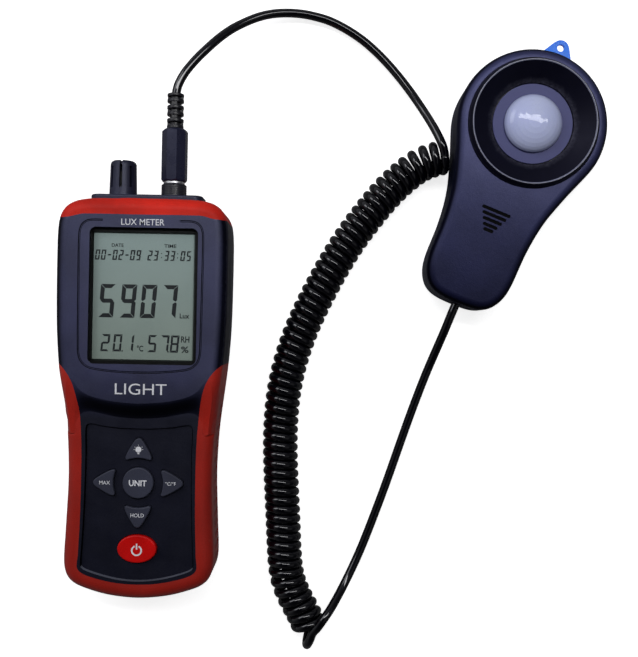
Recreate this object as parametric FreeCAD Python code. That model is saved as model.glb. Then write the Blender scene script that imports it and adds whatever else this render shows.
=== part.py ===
import FreeCAD, Part
import math
import os
import time

from FreeCAD import Vector as V

# Hand-held light meter with a remote light sensor on a coiled cord.
# Frame: origin at the centre of the meter's back face, +Z out of the display,
# +Y towards the socket end, the whole set lying on Z = 0. Millimetres.

# ---------------------------------------------------------------- dimensions
CASE_TOP_Z = 33.5        # display hood
PAD_TOP_Z = 30.0         # keypad half of the front
PART_Z = 16.0            # parting plane between front and rear case
EDGE_R = 5.0             # edge radius of both cases
RUBBER = 1.5             # thickness of the overmoulded rubber
WALL_SIDE = 3.2
END_Y = 84.6             # end of the case at the socket side

LCD_X, LCD_Y0, LCD_Y1 = 22.6, 14.8, 71.8
LCD_CX = 1.1             # the window sits a little to the right of the centre line
PCB_Z0, PCB_Z1 = 22.0, 23.6
KEY_TRAVEL = 0.6
KEY_TOP_Z = 30.7
PAD_FLOOR_Z = 28.9       # floor of the keypad recess
KEY_CX, KEY_CY = 0.0, -35.1
UNIT_R = 6.5
POWER_CY, POWER_A, POWER_B = -62.8, 8.2, 5.8
KEY_GAP = 0.3

CAGE_X, JACK_X, TOP_AXIS_Z = -11.3, 10.7, 17.5
PANEL_X, PANEL_Z0, PANEL_Z1, PANEL_Y = 24.0, 9.3, 25.2, 86.9
PIN_R = 1.75             # 3.5 mm plug
CABLE_R = 1.9

BAT_X, BAT_Y, BAT_Z = 26.5, 48.5, 17.5   # 9 V block
BAT_CY = -40.0
DOOR_X, DOOR_Y0, DOOR_Y1, DOOR_T = 15.9, -67.6, -5.0, 2.2

HEAD_CX, HEAD_CY, HEAD_ANGLE = 164.6, 120.7, -21.7
HEAD_R = 32.4
HEAD_TOP_Z, HEAD_END_Z = 24.0, 21.0
HEAD_PART_Z = 10.5
COLLAR_R, COLLAR_TOP_R, COLLAR_Z = 28.1, 26.5, 27.4
DISC_R, DISC_Z, DOME_R, DOME_Z = 17.2, 22.2, 12.5, 27.9

COIL_R = 5.85            # mean radius of the coiled part
COIL_PITCH = 3.98

PARTS = "parts"
os.makedirs(PARTS, exist_ok=True)
T0 = time.time()
made = {}


def save(name, shape):
    if isinstance(shape, (list, tuple)):
        solids = []
        for s in shape:
            solids += s.Solids
        shape = Part.Compound(solids)
    solids = shape.Solids
    for s in solids:
        if s.Volume < 0:
            s.reverse()
    bad = [i for i, s in enumerate(solids) if not s.isValid() or s.Volume <= 0]
    out = solids[0] if len(solids) == 1 else Part.Compound(solids)
    out.exportStep(os.path.join(PARTS, name + ".step"))
    made[name] = out
    print(f"{name:22s} solids {len(solids)} vol {sum(s.Volume for s in solids):10.1f} bad {bad} t {time.time()-T0:5.1f}")
    return out


# ---------------------------------------------------------------- 2-D helpers
def catmull(pts, closed=False, per=10):
    """Dense centripetal Catmull-Rom curve through the points."""
    n = len(pts)
    out = []
    count = n if closed else n - 1
    for i in range(count):
        if closed:
            p0, p1, p2, p3 = (pts[(i + k) % n] for k in (-1, 0, 1, 2))
        else:
            p1, p2 = pts[i], pts[i + 1]
            p0 = pts[i - 1] if i else (2 * p1[0] - p2[0], 2 * p1[1] - p2[1])
            p3 = pts[i + 2] if i + 2 < n else (2 * p2[0] - p1[0], 2 * p2[1] - p1[1])

        def dist(a, b):
            return max(1e-6, math.hypot(a[0] - b[0], a[1] - b[1])) ** 0.5

        t0 = 0.0
        t1 = t0 + dist(p0, p1)
        t2 = t1 + dist(p1, p2)
        t3 = t2 + dist(p2, p3)
        for k in range(per):
            t = t1 + (t2 - t1) * k / per

            def mix(a, b, ta, tb):
                f = (t - ta) / (tb - ta)
                return (a[0] * (1 - f) + b[0] * f, a[1] * (1 - f) + b[1] * f)

            a1, a2, a3 = mix(p0, p1, t0, t1), mix(p1, p2, t1, t2), mix(p2, p3, t2, t3)
            b1, b2 = mix(a1, a2, t0, t2), mix(a2, a3, t1, t3)
            out.append(mix(b1, b2, t1, t2))
    if not closed:
        out.append(pts[-1])
    return out


def resample(poly, n, closed=True):
    pts = list(poly) + ([poly[0]] if closed else [])
    d = [0.0]
    for a, b in zip(pts, pts[1:]):
        d.append(d[-1] + math.hypot(b[0] - a[0], b[1] - a[1]))
    total = d[-1]
    out = []
    j = 0
    m = n if closed else n - 1
    for i in range(n):
        s = total * i / m
        while j < len(d) - 2 and d[j + 1] < s:
            j += 1
        f = (s - d[j]) / max(1e-9, d[j + 1] - d[j])
        out.append((pts[j][0] + (pts[j + 1][0] - pts[j][0]) * f, pts[j][1] + (pts[j + 1][1] - pts[j][1]) * f))
    return out


def resample_curved(poly, n, gain=14.0):
    """Closed resampling that crowds points where the outline turns."""
    m = len(poly)
    w = []
    for i in range(m):
        a, b, c = poly[i - 1], poly[i], poly[(i + 1) % m]
        l = math.hypot(c[0] - b[0], c[1] - b[1])
        t = abs(math.atan2(c[1] - b[1], c[0] - b[0]) - math.atan2(b[1] - a[1], b[0] - a[0]))
        t = min(t, 2 * math.pi - t)
        w.append(l + gain * t)
    for _ in range(m // 12):
        w = [(w[i - 1] + 2 * w[i] + w[(i + 1) % m]) / 4 for i in range(m)]
    cum = [0.0]
    for v in w:
        cum.append(cum[-1] + v)
    out, j = [], 0
    for i in range(n):
        s = cum[-1] * i / n
        while cum[j + 1] < s:
            j += 1
        f = (s - cum[j]) / (cum[j + 1] - cum[j])
        a, b = poly[j], poly[(j + 1) % m]
        out.append((a[0] + (b[0] - a[0]) * f, a[1] + (b[1] - a[1]) * f))
    return out


def area(poly):
    return 0.5 * sum(a[0] * b[1] - b[0] * a[1] for a, b in zip(poly, poly[1:] + poly[:1]))


def inset(poly, d):
    """Moves each point of a closed outline inwards by d (outwards if negative)."""
    sgn = 1.0 if area(poly) > 0 else -1.0
    n = len(poly)
    out = []
    for i in range(n):
        a, b = poly[i - 1], poly[(i + 1) % n]
        tx, ty = b[0] - a[0], b[1] - a[1]
        l = math.hypot(tx, ty)
        out.append((poly[i][0] - sgn * ty / l * d, poly[i][1] + sgn * tx / l * d))
    return out


def spline_wire(poly, z=0.0):
    c = Part.BSplineCurve()
    c.interpolate(Points=[V(x, y, z) for x, y in poly], PeriodicFlag=True)
    return Part.Wire([c.toShape()])


def outward(s):
    """Makes sure the solid's faces point outwards."""
    if s.Volume < 0:
        s.reverse()
    return s


def prism(poly, z0, z1):
    if area(poly) < 0:
        poly = poly[::-1]
    return outward(Part.Face(spline_wire(poly, z0)).extrude(V(0, 0, z1 - z0)))


def mirror_half(half):
    """half runs from the top centre to the bottom centre on +X."""
    return half + [(-x, y) for x, y in reversed(half[1:-1])]


def rrect(x0, y0, x1, y1, r, z0, z1):
    pts = [V(x0 + r, y0, z0), V(x1 - r, y0, z0), V(x1, y0 + r, z0), V(x1, y1 - r, z0),
           V(x1 - r, y1, z0), V(x0 + r, y1, z0), V(x0, y1 - r, z0), V(x0, y0 + r, z0)]
    q = r * (1 - math.sqrt(0.5))
    mids = [V(x1 - q, y0 + q, z0), V(x1 - q, y1 - q, z0), V(x0 + q, y1 - q, z0), V(x0 + q, y0 + q, z0)]
    e = [Part.makeLine(pts[0], pts[1]), Part.Arc(pts[1], mids[0], pts[2]).toShape(),
         Part.makeLine(pts[2], pts[3]), Part.Arc(pts[3], mids[1], pts[4]).toShape(),
         Part.makeLine(pts[4], pts[5]), Part.Arc(pts[5], mids[2], pts[6]).toShape(),
         Part.makeLine(pts[6], pts[7]), Part.Arc(pts[7], mids[3], pts[0]).toShape()]
    return Part.Face(Part.Wire(e)).extrude(V(0, 0, z1 - z0))


def box(x0, y0, z0, x1, y1, z1):
    return Part.makeBox(x1 - x0, y1 - y0, z1 - z0, V(x0, y0, z0))


def cyl(r, x, y, z0, z1):
    return Part.makeCylinder(r, z1 - z0, V(x, y, z0))


def cyl_y(r, x, z, y0, y1):
    return Part.makeCylinder(r, y1 - y0, V(x, y0, z), V(0, 1, 0))


def revolve_z(profile, x=0.0, y=0.0):
    """profile is a closed list of (radius, z)."""
    pts = [V(r, 0, z) for r, z in profile]
    s = Part.Face(Part.makePolygon(pts + [pts[0]])).revolve(V(0, 0, 0), V(0, 0, 1), 360)
    s.translate(V(x, y, 0))
    return s


def at_z(shape, z, tol=0.02):
    return [e for e in shape.Edges if abs(e.BoundBox.ZMin - z) < tol and abs(e.BoundBox.ZMax - z) < tol]


# ---------------------------------------------------------------- meter body
HALF = [(0, END_Y), (12, 84.5), (20, 84.3), (25.5, 83.8), (29.6, 82.6), (32.6, 80.5), (34.6, 77.4), (35.5, 73.8),
        (35.9, 69), (36.0, 62), (36.0, 52), (35.9, 42), (35.7, 32), (35.3, 24), (34.6, 15), (33.6, 6), (32.6, -2),
        (31.7, -9.5), (31.0, -17), (30.6, -25), (30.4, -33), (30.6, -42), (31.0, -51), (31.4, -60), (31.7, -67),
        (31.5, -71.2), (30.6, -74.6), (28.8, -77.3), (26, -79.3), (22, -80.9), (16, -82.7), (8, -84.1), (0, -84.6)]
OUT = resample_curved(catmull(mirror_half(HALF), True, 40), 60)


def shell_block(poly, z0, z1, r):
    s = prism(poly, z0, z1)
    return s.makeFillet(r, at_z(s, z0) + at_z(s, z1))


full_high = shell_block(OUT, 0, CASE_TOP_Z, EDGE_R)
full_low = shell_block(OUT, 0, PAD_TOP_Z, EDGE_R)


def hood_edge(x):
    return -0.5 + 7.5 * (x / 33.0) ** 2


def hood_run(x):
    """Length of the step from the hood down to the keypad: short in the middle, long under the rubber."""
    f = max(0.0, min(1.0, (abs(x) - 21.0) / 9.0))
    return f * f * (3 - 2 * f)


def hood_profile(x):
    w = hood_run(x)
    y = hood_edge(x) + 7.0 * w
    run = 8.6 + 19.0 * w
    s_pts = []
    for k in range(9):
        f = k / 8.0
        s_pts.append(V(x, y - run * (1 - f), PAD_TOP_Z - 0.12 + (CASE_TOP_Z - PAD_TOP_Z + 0.24) * 0.5 * (1 - math.cos(math.pi * f))))
    c = Part.BSplineCurve()
    c.interpolate(Points=s_pts)
    a, b = s_pts[0], s_pts[-1]
    p1, p2, p3, p4 = V(x, b.y, 45), V(x, 120, 45), V(x, 120, -6), V(x, a.y, -6)
    return Part.Wire([c.toShape(), Part.makeLine(b, p1), Part.makeLine(p1, p2), Part.makeLine(p2, p3), Part.makeLine(p3, p4), Part.makeLine(p4, a)])


hood_zone = outward(Part.makeLoft([hood_profile(x) for x in (-44, -37, -31, -27, -23, -19, -11, 0, 11, 19, 23, 27, 31, 37, 44)], True, False))
print("hood zone", hood_zone.isValid(), round(hood_zone.Volume), [round(v, 1) for v in (full_high.Volume, full_low.Volume)])
envelope = full_high.common(hood_zone).fuse(full_low.cut(hood_zone))
print("envelope", envelope.isValid(), len(envelope.Solids), round(envelope.Volume), round(time.time() - T0, 1))

# rubber overmould: a skin outside a smaller block, kept only inside two regions
core_high = shell_block(inset(OUT, RUBBER), RUBBER, CASE_TOP_Z - RUBBER, EDGE_R - RUBBER)
core_low = shell_block(inset(OUT, RUBBER), RUBBER, PAD_TOP_Z - RUBBER, EDGE_R - RUBBER)

BOOT_HALF = [(0, -77.9), (8, -77.4), (16, -75.9), (22.3, -73.9), (24.4, -72.8), (24.95, -71.0), (24.8, -66), (24.3, -55),
             (24.0, -40), (24.0, -28), (24.2, -18), (24.7, -10), (25.7, -1.5), (28.0, 7.2), (31.6, 12.6), (36.0, 15.9)]
inner = catmull(BOOT_HALF, False, 6)
left = [(-x, y) for x, y in reversed(inner)]
curve = left + inner[1:]
c = Part.BSplineCurve()
c.interpolate(Points=[V(x, y, -5) for x, y in resample(curve, 50, False)])
a, b = c.value(c.FirstParameter), c.value(c.LastParameter)
q1, q2, q3, q4 = V(60, b.y, -5), V(60, -110, -5), V(-60, -110, -5), V(-60, a.y, -5)
boot_zone = Part.Face(Part.Wire([c.toShape(), Part.makeLine(b, q1), Part.makeLine(q1, q2), Part.makeLine(q2, q3), Part.makeLine(q3, q4), Part.makeLine(q4, a)])).extrude(V(0, 0, 60))
boot_block = envelope.common(boot_zone).cut(core_low)
boot_block = max(boot_block.Solids, key=lambda s: s.Volume)
# finger ribs along both flanks
cutters = []
for side in (-1, 1):
    for k in range(15):
        y = -4.0 - 4.6 * k
        w = min((abs(p[1] - y), p[0]) for p in catmull(HALF, False, 8))[1]
        cutters.append(Part.makeCylinder(1.5, 13.0, V(side * (w + 0.95), y, 5.2)))
boot = boot_block.cut(cutters + [cyl(3.1, x, -69.8, -1, 2.6) for x in (-22.6, 22.6)])
print("boot", boot.isValid(), len(boot.Solids), round(time.time() - T0, 1))

c2pts = [(-60, 75.7), (-36, 75.7), (-30.2, 75.8), (-26.6, 76.9), (-22, 77.2), (0, 77.2), (22, 77.2), (26.6, 76.9), (30.2, 75.8), (36, 75.7), (60, 75.7)]
c = Part.BSplineCurve()
c.interpolate(Points=[V(x, y, -5) for x, y in resample(catmull(c2pts, False, 8), 32, False)])
a, b = c.value(c.FirstParameter), c.value(c.LastParameter)
q1, q2 = V(60, 110, -5), V(-60, 110, -5)
band_zone = Part.Face(Part.Wire([c.toShape(), Part.makeLine(b, q1), Part.makeLine(q1, q2), Part.makeLine(q2, a)])).extrude(V(0, 0, 60))
panel_hole = box(-PANEL_X - 0.1, 76, PANEL_Z0 - 0.1, PANEL_X + 0.1, 95, PANEL_Z1 + 0.1)
panel_hole = panel_hole.makeFillet(4.0, [e for e in panel_hole.Edges if abs(e.Vertexes[0].Y - e.Vertexes[1].Y) > 10])
band_block = envelope.common(band_zone).cut(core_high)
band_block = max(band_block.Solids, key=lambda s: s.Volume)
band = band_block.cut(panel_hole)
print("band", band.isValid(), len(band.Solids), round(time.time() - T0, 1))

# hollow, with the screw bosses and the battery bay left standing in it
BOSSES = [(-26.3, 70.0), (26.3, 70.0), (-22.6, -69.8), (22.6, -69.8)]
cav = prism(inset(OUT, WALL_SIDE), 3.2, 26.8)
hood_cav = rrect(-27.5, 9.0, 27.5, 77.5, 3.0, 20.0, 31.0)
hollow = cav.fuse(hood_cav)
front_hollow = hollow.common(box(-60, -110, PART_Z - 1, 60, 110, 60)).cut([cyl(3.0, x, y, PART_Z, 28.0 if y < 0 else 31.5) for x, y in BOSSES])
bay_x, bay_y0, bay_y1, bay_z = BAT_X / 2 + 0.6, BAT_CY - BAT_Y / 2 - 0.6, BAT_CY + BAT_Y / 2 + 3.4, 20.4
bay = box(-bay_x, bay_y0, -1, bay_x, bay_y1, bay_z)
bay_walls = box(-bay_x - 1.2, bay_y0 - 1.2, -1, bay_x + 1.2, bay_y1 + 1.2, bay_z + 1.1)
post = box(-4.0, bay_y1 + 0.6, 1.6, 4.0, bay_y1 + 7.5, 9.5)
rear_hollow = hollow.common(box(-60, -110, 0, 60, 110, PART_Z + 1)).cut([bay_walls, post] + [cyl(3.4, x, y, 2.0, PART_Z) for x, y in BOSSES])
print("hollows", front_hollow.isValid(), len(front_hollow.Solids), rear_hollow.isValid(), len(rear_hollow.Solids), round(time.time() - T0, 1))

PAD_HALF = [(0, -12.2), (8, -12.0), (15, -11.3), (20.4, -10.4), (22.0, -10.9), (22.6, -12.6), (22.5, -20), (22.5, -30), (22.7, -42),
            (23.1, -54), (23.6, -64), (23.9, -69.2), (23.6, -70.9), (21.8, -72.2), (16, -74.2), (8, -76.0), (0, -76.6)]
PAD = resample_curved(catmull(mirror_half(PAD_HALF), True), 48)
if area(PAD) < 0:
    PAD = PAD[::-1]
pad_cut = outward(Part.makeLoft([spline_wire(inset(PAD, 0.5), PAD_FLOOR_Z), spline_wire(PAD, PAD_TOP_Z + 0.15)], True, True))
pad_cut = [pad_cut, prism(PAD, PAD_TOP_Z + 0.15, PAD_TOP_Z + 2)]

ARROW_HALF = [(0, 18.85), (1.0, 18.5), (1.9, 17.5), (3.0, 15.8), (4.1, 13.9), (5.0, 12.1), (5.45, 10.7), (5.35, 9.95), (4.8, 9.65),
              (3.9, 9.85), (2, 10.3), (0, 10.45)]
ARROW = resample_curved(catmull(mirror_half(ARROW_HALF), True), 44, 4.0)
if area(ARROW) < 0:
    ARROW = ARROW[::-1]


def turn(poly, deg, cx=KEY_CX, cy=KEY_CY):
    a = math.radians(deg)
    return [(cx + x * math.cos(a) - y * math.sin(a), cy + x * math.sin(a) + y * math.cos(a)) for x, y in poly]


def ellipse(cx, cy, a, b, n=24):
    return [(cx + a * math.cos(2 * math.pi * t / n), cy + b * math.sin(2 * math.pi * t / n)) for t in range(n)]


KEYS = {"backlight_key": turn(ARROW, 0), "max_key": turn(ARROW, 90), "hold_key": turn(ARROW, 180), "temperature_unit_key": turn(ARROW, -90),
        "unit_key": ellipse(KEY_CX, KEY_CY, UNIT_R, UNIT_R), "power_key": ellipse(0, POWER_CY, POWER_A, POWER_B)}

GROOVE = catmull([(-16.2, 74.7), (-20.2, 74.7), (-22.6, 74.3), (-24.4, 73.0), (-25.5, 70.6), (-25.8, 66), (-25.7, 45), (-25.5, 24), (-25.2, 18.6), (-24.0, 15.6),
                  (-21.3, 13.4), (-16, 12.3), (-8, 11.6), (0, 11.4), (8, 11.6), (16, 12.3), (21.3, 13.4), (24.0, 15.6), (25.2, 18.6), (25.5, 24),
                  (25.7, 45), (25.8, 66), (25.5, 70.6), (24.4, 73.0), (22.6, 74.3), (20.2, 74.7), (16.2, 74.7)], False, 6)


def ribbon(path, w, z0, z1):
    """Closed strip of width w round an open path, with round ends."""
    path = resample(path, 120, False)
    lft, rgt = [], []
    for i, p in enumerate(path):
        a, b = path[max(0, i - 1)], path[min(len(path) - 1, i + 1)]
        l = math.hypot(b[0] - a[0], b[1] - a[1])
        nx, ny = -(b[1] - a[1]) / l, (b[0] - a[0]) / l
        lft.append(V(p[0] + nx * w / 2, p[1] + ny * w / 2, z0))
        rgt.append(V(p[0] - nx * w / 2, p[1] - ny * w / 2, z0))
    c1, c2 = Part.BSplineCurve(), Part.BSplineCurve()
    c1.interpolate(Points=lft)
    c2.interpolate(Points=rgt)
    e0, e1 = path[0], path[-1]
    d0 = V(path[0][0] - path[1][0], path[0][1] - path[1][1], 0).normalize() * (w / 2)
    d1 = V(path[-1][0] - path[-2][0], path[-1][1] - path[-2][1], 0).normalize() * (w / 2)
    arc0 = Part.Arc(lft[0], V(e0[0], e0[1], z0) + d0, rgt[0]).toShape()
    arc1 = Part.Arc(lft[-1], V(e1[0], e1[1], z0) + d1, rgt[-1]).toShape()
    w_ = Part.Wire(Part.__sortEdges__([c1.toShape(), arc1, c2.toShape(), arc0]))
    return Part.Face(w_).extrude(V(0, 0, z1 - z0))


window = rrect(LCD_CX - LCD_X, LCD_Y0, LCD_CX + LCD_X, LCD_Y1, 2.6, 20, 40)
ledge = rrect(LCD_CX - LCD_X - 1.6, LCD_Y0 - 1.6, LCD_CX + LCD_X + 1.6, LCD_Y1 + 1.6, 3.4, 20, 31.2)
front = envelope.common(box(-60, -110, PART_Z, 60, 110, 60)).cut([boot_block, band_block])
print("front a", front.isValid(), len(front.Solids), round(time.time() - T0, 1))
front = front.cut([front_hollow, panel_hole] + [cyl(1.5, x, y, PART_Z - 1, 26.2) for x, y in BOSSES])
print("front b", front.isValid(), len(front.Solids), round(time.time() - T0, 1))
front = front.cut([window.fuse(ledge), ribbon(GROOVE, 0.9, CASE_TOP_Z - 0.4, 40)] + pad_cut + [prism(inset(p, -KEY_GAP), 20, 40) for p in KEYS.values()])
front = max(front.Solids, key=lambda s: s.Volume)
print("front c", front.isValid(), len(front.Solids), round(time.time() - T0, 1))

# rear case with the battery bay, door pocket, door tongue slots, wire gap and label recess
rear = envelope.common(box(-60, -110, -5, 60, 110, PART_Z)).cut([boot_block, band_block])
print("rear a", rear.isValid(), len(rear.Solids), round(time.time() - T0, 1))
cuts = [rear_hollow, panel_hole, bay, rrect(-DOOR_X - 0.2, DOOR_Y0 - 0.2, DOOR_X + 0.2, DOOR_Y1 + 0.2, 2.2, -1, DOOR_T), cyl(1.25, 0, bay_y1 + 3.2, 1.0, 8.2),
        rrect(-21, 22, 21, 62, 2.0, -1, 0.35), box(-4.5, bay_y1 - 1, 15.0, 4.5, bay_y1 + 3, 19.0)]
cuts += [cyl(3.1, x, y, -1, 2.6) for x, y in BOSSES] + [cyl(1.6, x, y, -1, PART_Z + 1) for x, y in BOSSES]
cuts += [box(x - 2.2, bay_y0 - 2.6, DOOR_T - 0.01, x + 2.2, bay_y0 + 0.5, DOOR_T + 1.35) for x in (-8.5, 8.5)]
rear = rear.cut(cuts)
# the upper part of the bay walls stands above the parting plane
collar = box(-bay_x - 1.2, bay_y0 - 1.2, PART_Z - 0.5, bay_x + 1.2, bay_y1 + 1.2, bay_z + 1.1).cut([bay, box(-4.5, bay_y1 - 1, 15.0, 4.5, bay_y1 + 3, 19.0)])
rear = rear.fuse(collar)
rear = max(rear.Solids, key=lambda s: s.Volume)
print("rear", rear.isValid(), len(rear.Solids), round(time.time() - T0, 1))

save("front_case", front)
save("rear_case", rear)
save("lower_rubber_boot", boot)
save("top_rubber_band", band)

# ---------------------------------------------------------------- display stack
lens = rrect(LCD_CX - LCD_X + 0.1, LCD_Y0 + 0.1, LCD_CX + LCD_X - 0.1, LCD_Y1 - 0.1, 2.5, 31.3, 32.8)
lens = lens.makeChamfer(0.25, at_z(lens, 32.8))
save("display_lens", lens)
bez = rrect(LCD_CX - LCD_X - 1.4, LCD_Y0 - 1.4, LCD_CX + LCD_X + 1.4, LCD_Y1 + 1.4, 3.2, 29.9, 31.2)
bez_hole = Part.makeLoft([Part.makePolygon([V(0.7 - x, 43.15 - y, z), V(0.7 + x, 43.15 - y, z), V(0.7 + x, 43.15 + y, z), V(0.7 - x, 43.15 + y, z), V(0.7 - x, 43.15 - y, z)])
                          for x, y, z in ((21.1, 26.4, 29.8), (21.8, 27.1, 31.3))], True, True)
bez = bez.cut(outward(bez_hole))
save("display_bezel", bez)
glass = rrect(LCD_CX - 23.2, 15.2, LCD_CX + 23.2, 71.4, 0.6, 27.6, 29.8)
save("display_glass", glass)
save("display_backlight", rrect(-22.0, 18.0, 22.0, 68.5, 0.6, 24.6, 27.5))
save("display_contact_strips", [box(-21, 15.6, PCB_Z1 + 0.05, 21, 17.6, 27.55), box(-21, 69.0, PCB_Z1 + 0.05, 21, 71.0, 27.55)])

# ---------------------------------------------------------------- circuit board and keypad
pcb = prism(inset(OUT, 5.0), PCB_Z0, PCB_Z1).common(box(-60, -79, 0, 60, 75.5, 60))
pcb = pcb.cut(Part.Compound([cyl(3.5, x, y, 20, 30) for x, y in BOSSES]))
PCB_SCREWS = [(-21.5, 6.0), (21.5, 6.0), (-20.5, -56.0), (20.5, -56.0)]
pcb = pcb.cut(Part.Compound([cyl(1.3, x, y, 20, 30) for x, y in PCB_SCREWS]))
save("main_board", pcb)
save("board_screws", [cyl(1.15, x, y, 19.8, 26.0).fuse(cyl(2.3, x, y, 20.6, PCB_Z0 - 0.02)) for x, y in PCB_SCREWS])
chips = [box(-6, 30, 20.2, 6, 42, PCB_Z0 - 0.02), box(-20, 50, 20.6, -13, 58, PCB_Z0 - 0.02), box(10, 52, 20.4, 17, 60, PCB_Z0 - 0.02), box(12, 22, 20.6, 20, 26, PCB_Z0 - 0.02)]
chips += [cyl(2.0, -16, 34, 15.5, PCB_Z0 - 0.02), cyl(2.0, -16, 26, 15.5, PCB_Z0 - 0.02)]
save("board_components", chips)
save("buzzer", cyl(6.0, 14, 38, 16.6, PCB_Z0 - 0.02).cut(cyl(1.0, 14, 38, 16.0, 17.4)))

CENTRES = {"backlight_key": (0, KEY_CY + 13.6), "max_key": (-13.6, KEY_CY), "hold_key": (0, KEY_CY - 13.6), "temperature_unit_key": (13.6, KEY_CY),
           "unit_key": (0, KEY_CY), "power_key": (0, POWER_CY)}
mat = rrect(-22.0, -72.5, 22.0, -8.5, 3.0, PCB_Z1 + 0.02, PCB_Z1 + 0.82)
mat = mat.cut(Part.Compound([cyl(4.6, x, y, 20, 30) for x, y in CENTRES.values()] + [cyl(2.6, x, y, 20, 30) for x, y in PCB_SCREWS] + [cyl(3.6, x, y, 20, 30) for x, y in BOSSES]))
save("keypad_mat", mat)
domes = []
for x, y in CENTRES.values():
    d = revolve_z([(0, 0.45), (2.6, 0.34), (4.2, 0.0), (3.9, 0.0), (2.6, 0.2), (0, 0.3)], x, y)
    d.translate(V(0, 0, PCB_Z1 + 0.02))
    domes.append(d)
save("snap_domes", domes)

for name, poly in KEYS.items():
    cx, cy = CENTRES[name]
    cap = prism(poly, 26.5, KEY_TOP_Z - 0.45)
    crown = outward(Part.makeLoft([spline_wire(poly, KEY_TOP_Z - 0.45), spline_wire(inset(poly, 0.14), KEY_TOP_Z - 0.17), spline_wire(inset(poly, 0.45), KEY_TOP_Z)], True, True))
    flange = prism(inset(poly, -0.9), 25.4, 26.6)
    key = cap.fuse([crown, flange, cyl(1.6, cx, cy, PCB_Z1 + 0.02 + 0.45 + KEY_TRAVEL + 0.08, 26.0)])
    save(name, key)

# ---------------------------------------------------------------- top end: panel, air sensor, socket
panel = box(-PANEL_X, 80.0, PANEL_Z0, PANEL_X, PANEL_Y, PANEL_Z1)
panel = panel.makeFillet(3.9, [e for e in panel.Edges if abs(e.Vertexes[0].Y - e.Vertexes[1].Y) > 5])
panel = panel.makeFillet(0.9, [e for e in panel.Edges if e.BoundBox.YMin > PANEL_Y - 0.01])
panel = panel.fuse(box(-PANEL_X - 1.2, 79.0, PANEL_Z0 - 1.0, PANEL_X + 1.2, 80.6, PANEL_Z1 + 1.0).common(prism(inset(OUT, 3.5), 0, 40)))
panel = panel.cut(cyl_y(4.6, CAGE_X, TOP_AXIS_Z, 70, 100)).cut(cyl_y(5.45, JACK_X, TOP_AXIS_Z, 70, 100))
save("top_panel", panel)

cage_y0, cage_y1 = PANEL_Y + 0.02, 101.9
prof = [(0, cage_y0), (5.95, cage_y0), (5.9, cage_y0 + 1), (5.55, cage_y1 - 1.3), (5.2, cage_y1 - 0.5), (4.5, cage_y1), (0, cage_y1)]
pts = [V(CAGE_X + r, y, TOP_AXIS_Z) for r, y in prof]
cage = Part.Face(Part.makePolygon(pts + [pts[0]])).revolve(V(CAGE_X, 0, TOP_AXIS_Z), V(0, 1, 0), 360)
cage = cage.fuse(cyl_y(4.5, CAGE_X, TOP_AXIS_Z, 77.6, cage_y0 + 0.5)).cut(cyl_y(3.7, CAGE_X, TOP_AXIS_Z, 70, cage_y1 - 1.4))
for k in range(4):
    s = box(-8, 90.2, -0.62, 8, 110, 0.62)
    s.rotate(V(0, 0, 0), V(0, 1, 0), 45 * k + 90)
    s.translate(V(CAGE_X, 0, TOP_AXIS_Z))
    # the slots stop short of the crown, except the front one that runs over it
    cage = cage.cut(s.common(box(CAGE_X - 9, 90.2, TOP_AXIS_Z - 9, CAGE_X + 9, cage_y1 - 2.4, TOP_AXIS_Z + 9)))
cage = cage.cut(box(CAGE_X - 0.55, 98.0, TOP_AXIS_Z + 2.0, CAGE_X + 0.55, 110, TOP_AXIS_Z + 9))
save("air_sensor_cage", cage)
save("air_sensor_board", [box(CAGE_X - 2.4, 72.0, TOP_AXIS_Z - 0.5, CAGE_X + 2.4, 97.5, TOP_AXIS_Z + 0.5), box(CAGE_X - 1.5, 92.0, TOP_AXIS_Z + 0.52, CAGE_X + 1.5, 95.0, TOP_AXIS_Z + 1.6)])

bush = cyl_y(5.4, JACK_X, TOP_AXIS_Z, 76.6, 92.3)
bush = bush.makeChamfer(0.5, [e for e in bush.Edges if e.BoundBox.YMin > 92.2 and e.BoundBox.YMax < 92.4])
for k in range(6):
    y = PANEL_Y + 0.55 + 0.78 * k
    bush = bush.cut(cyl_y(6.0, JACK_X, TOP_AXIS_Z, y, y + 0.32).cut(cyl_y(5.15, JACK_X, TOP_AXIS_Z, y - 1, y + 2)))
bush = bush.cut(cyl_y(PIN_R + 0.07, JACK_X, TOP_AXIS_Z, 70, 100))
save("socket_bushing", bush)
body = box(JACK_X - 4.2, 68.5, TOP_AXIS_Z - 4.2, JACK_X + 4.2, 76.5, TOP_AXIS_Z + 4.2)
body = body.cut(cyl_y(PIN_R + 0.6, JACK_X, TOP_AXIS_Z, 69.8, 80))
save("socket_body", body)
save("socket_contacts", [box(JACK_X - 4.9, 70.5, TOP_AXIS_Z - 1.2, JACK_X - 4.3, 75.5, TOP_AXIS_Z + 3.9), box(JACK_X + 4.3, 70.5, TOP_AXIS_Z - 1.2, JACK_X + 4.9, 75.5, TOP_AXIS_Z + 3.9)])

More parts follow.
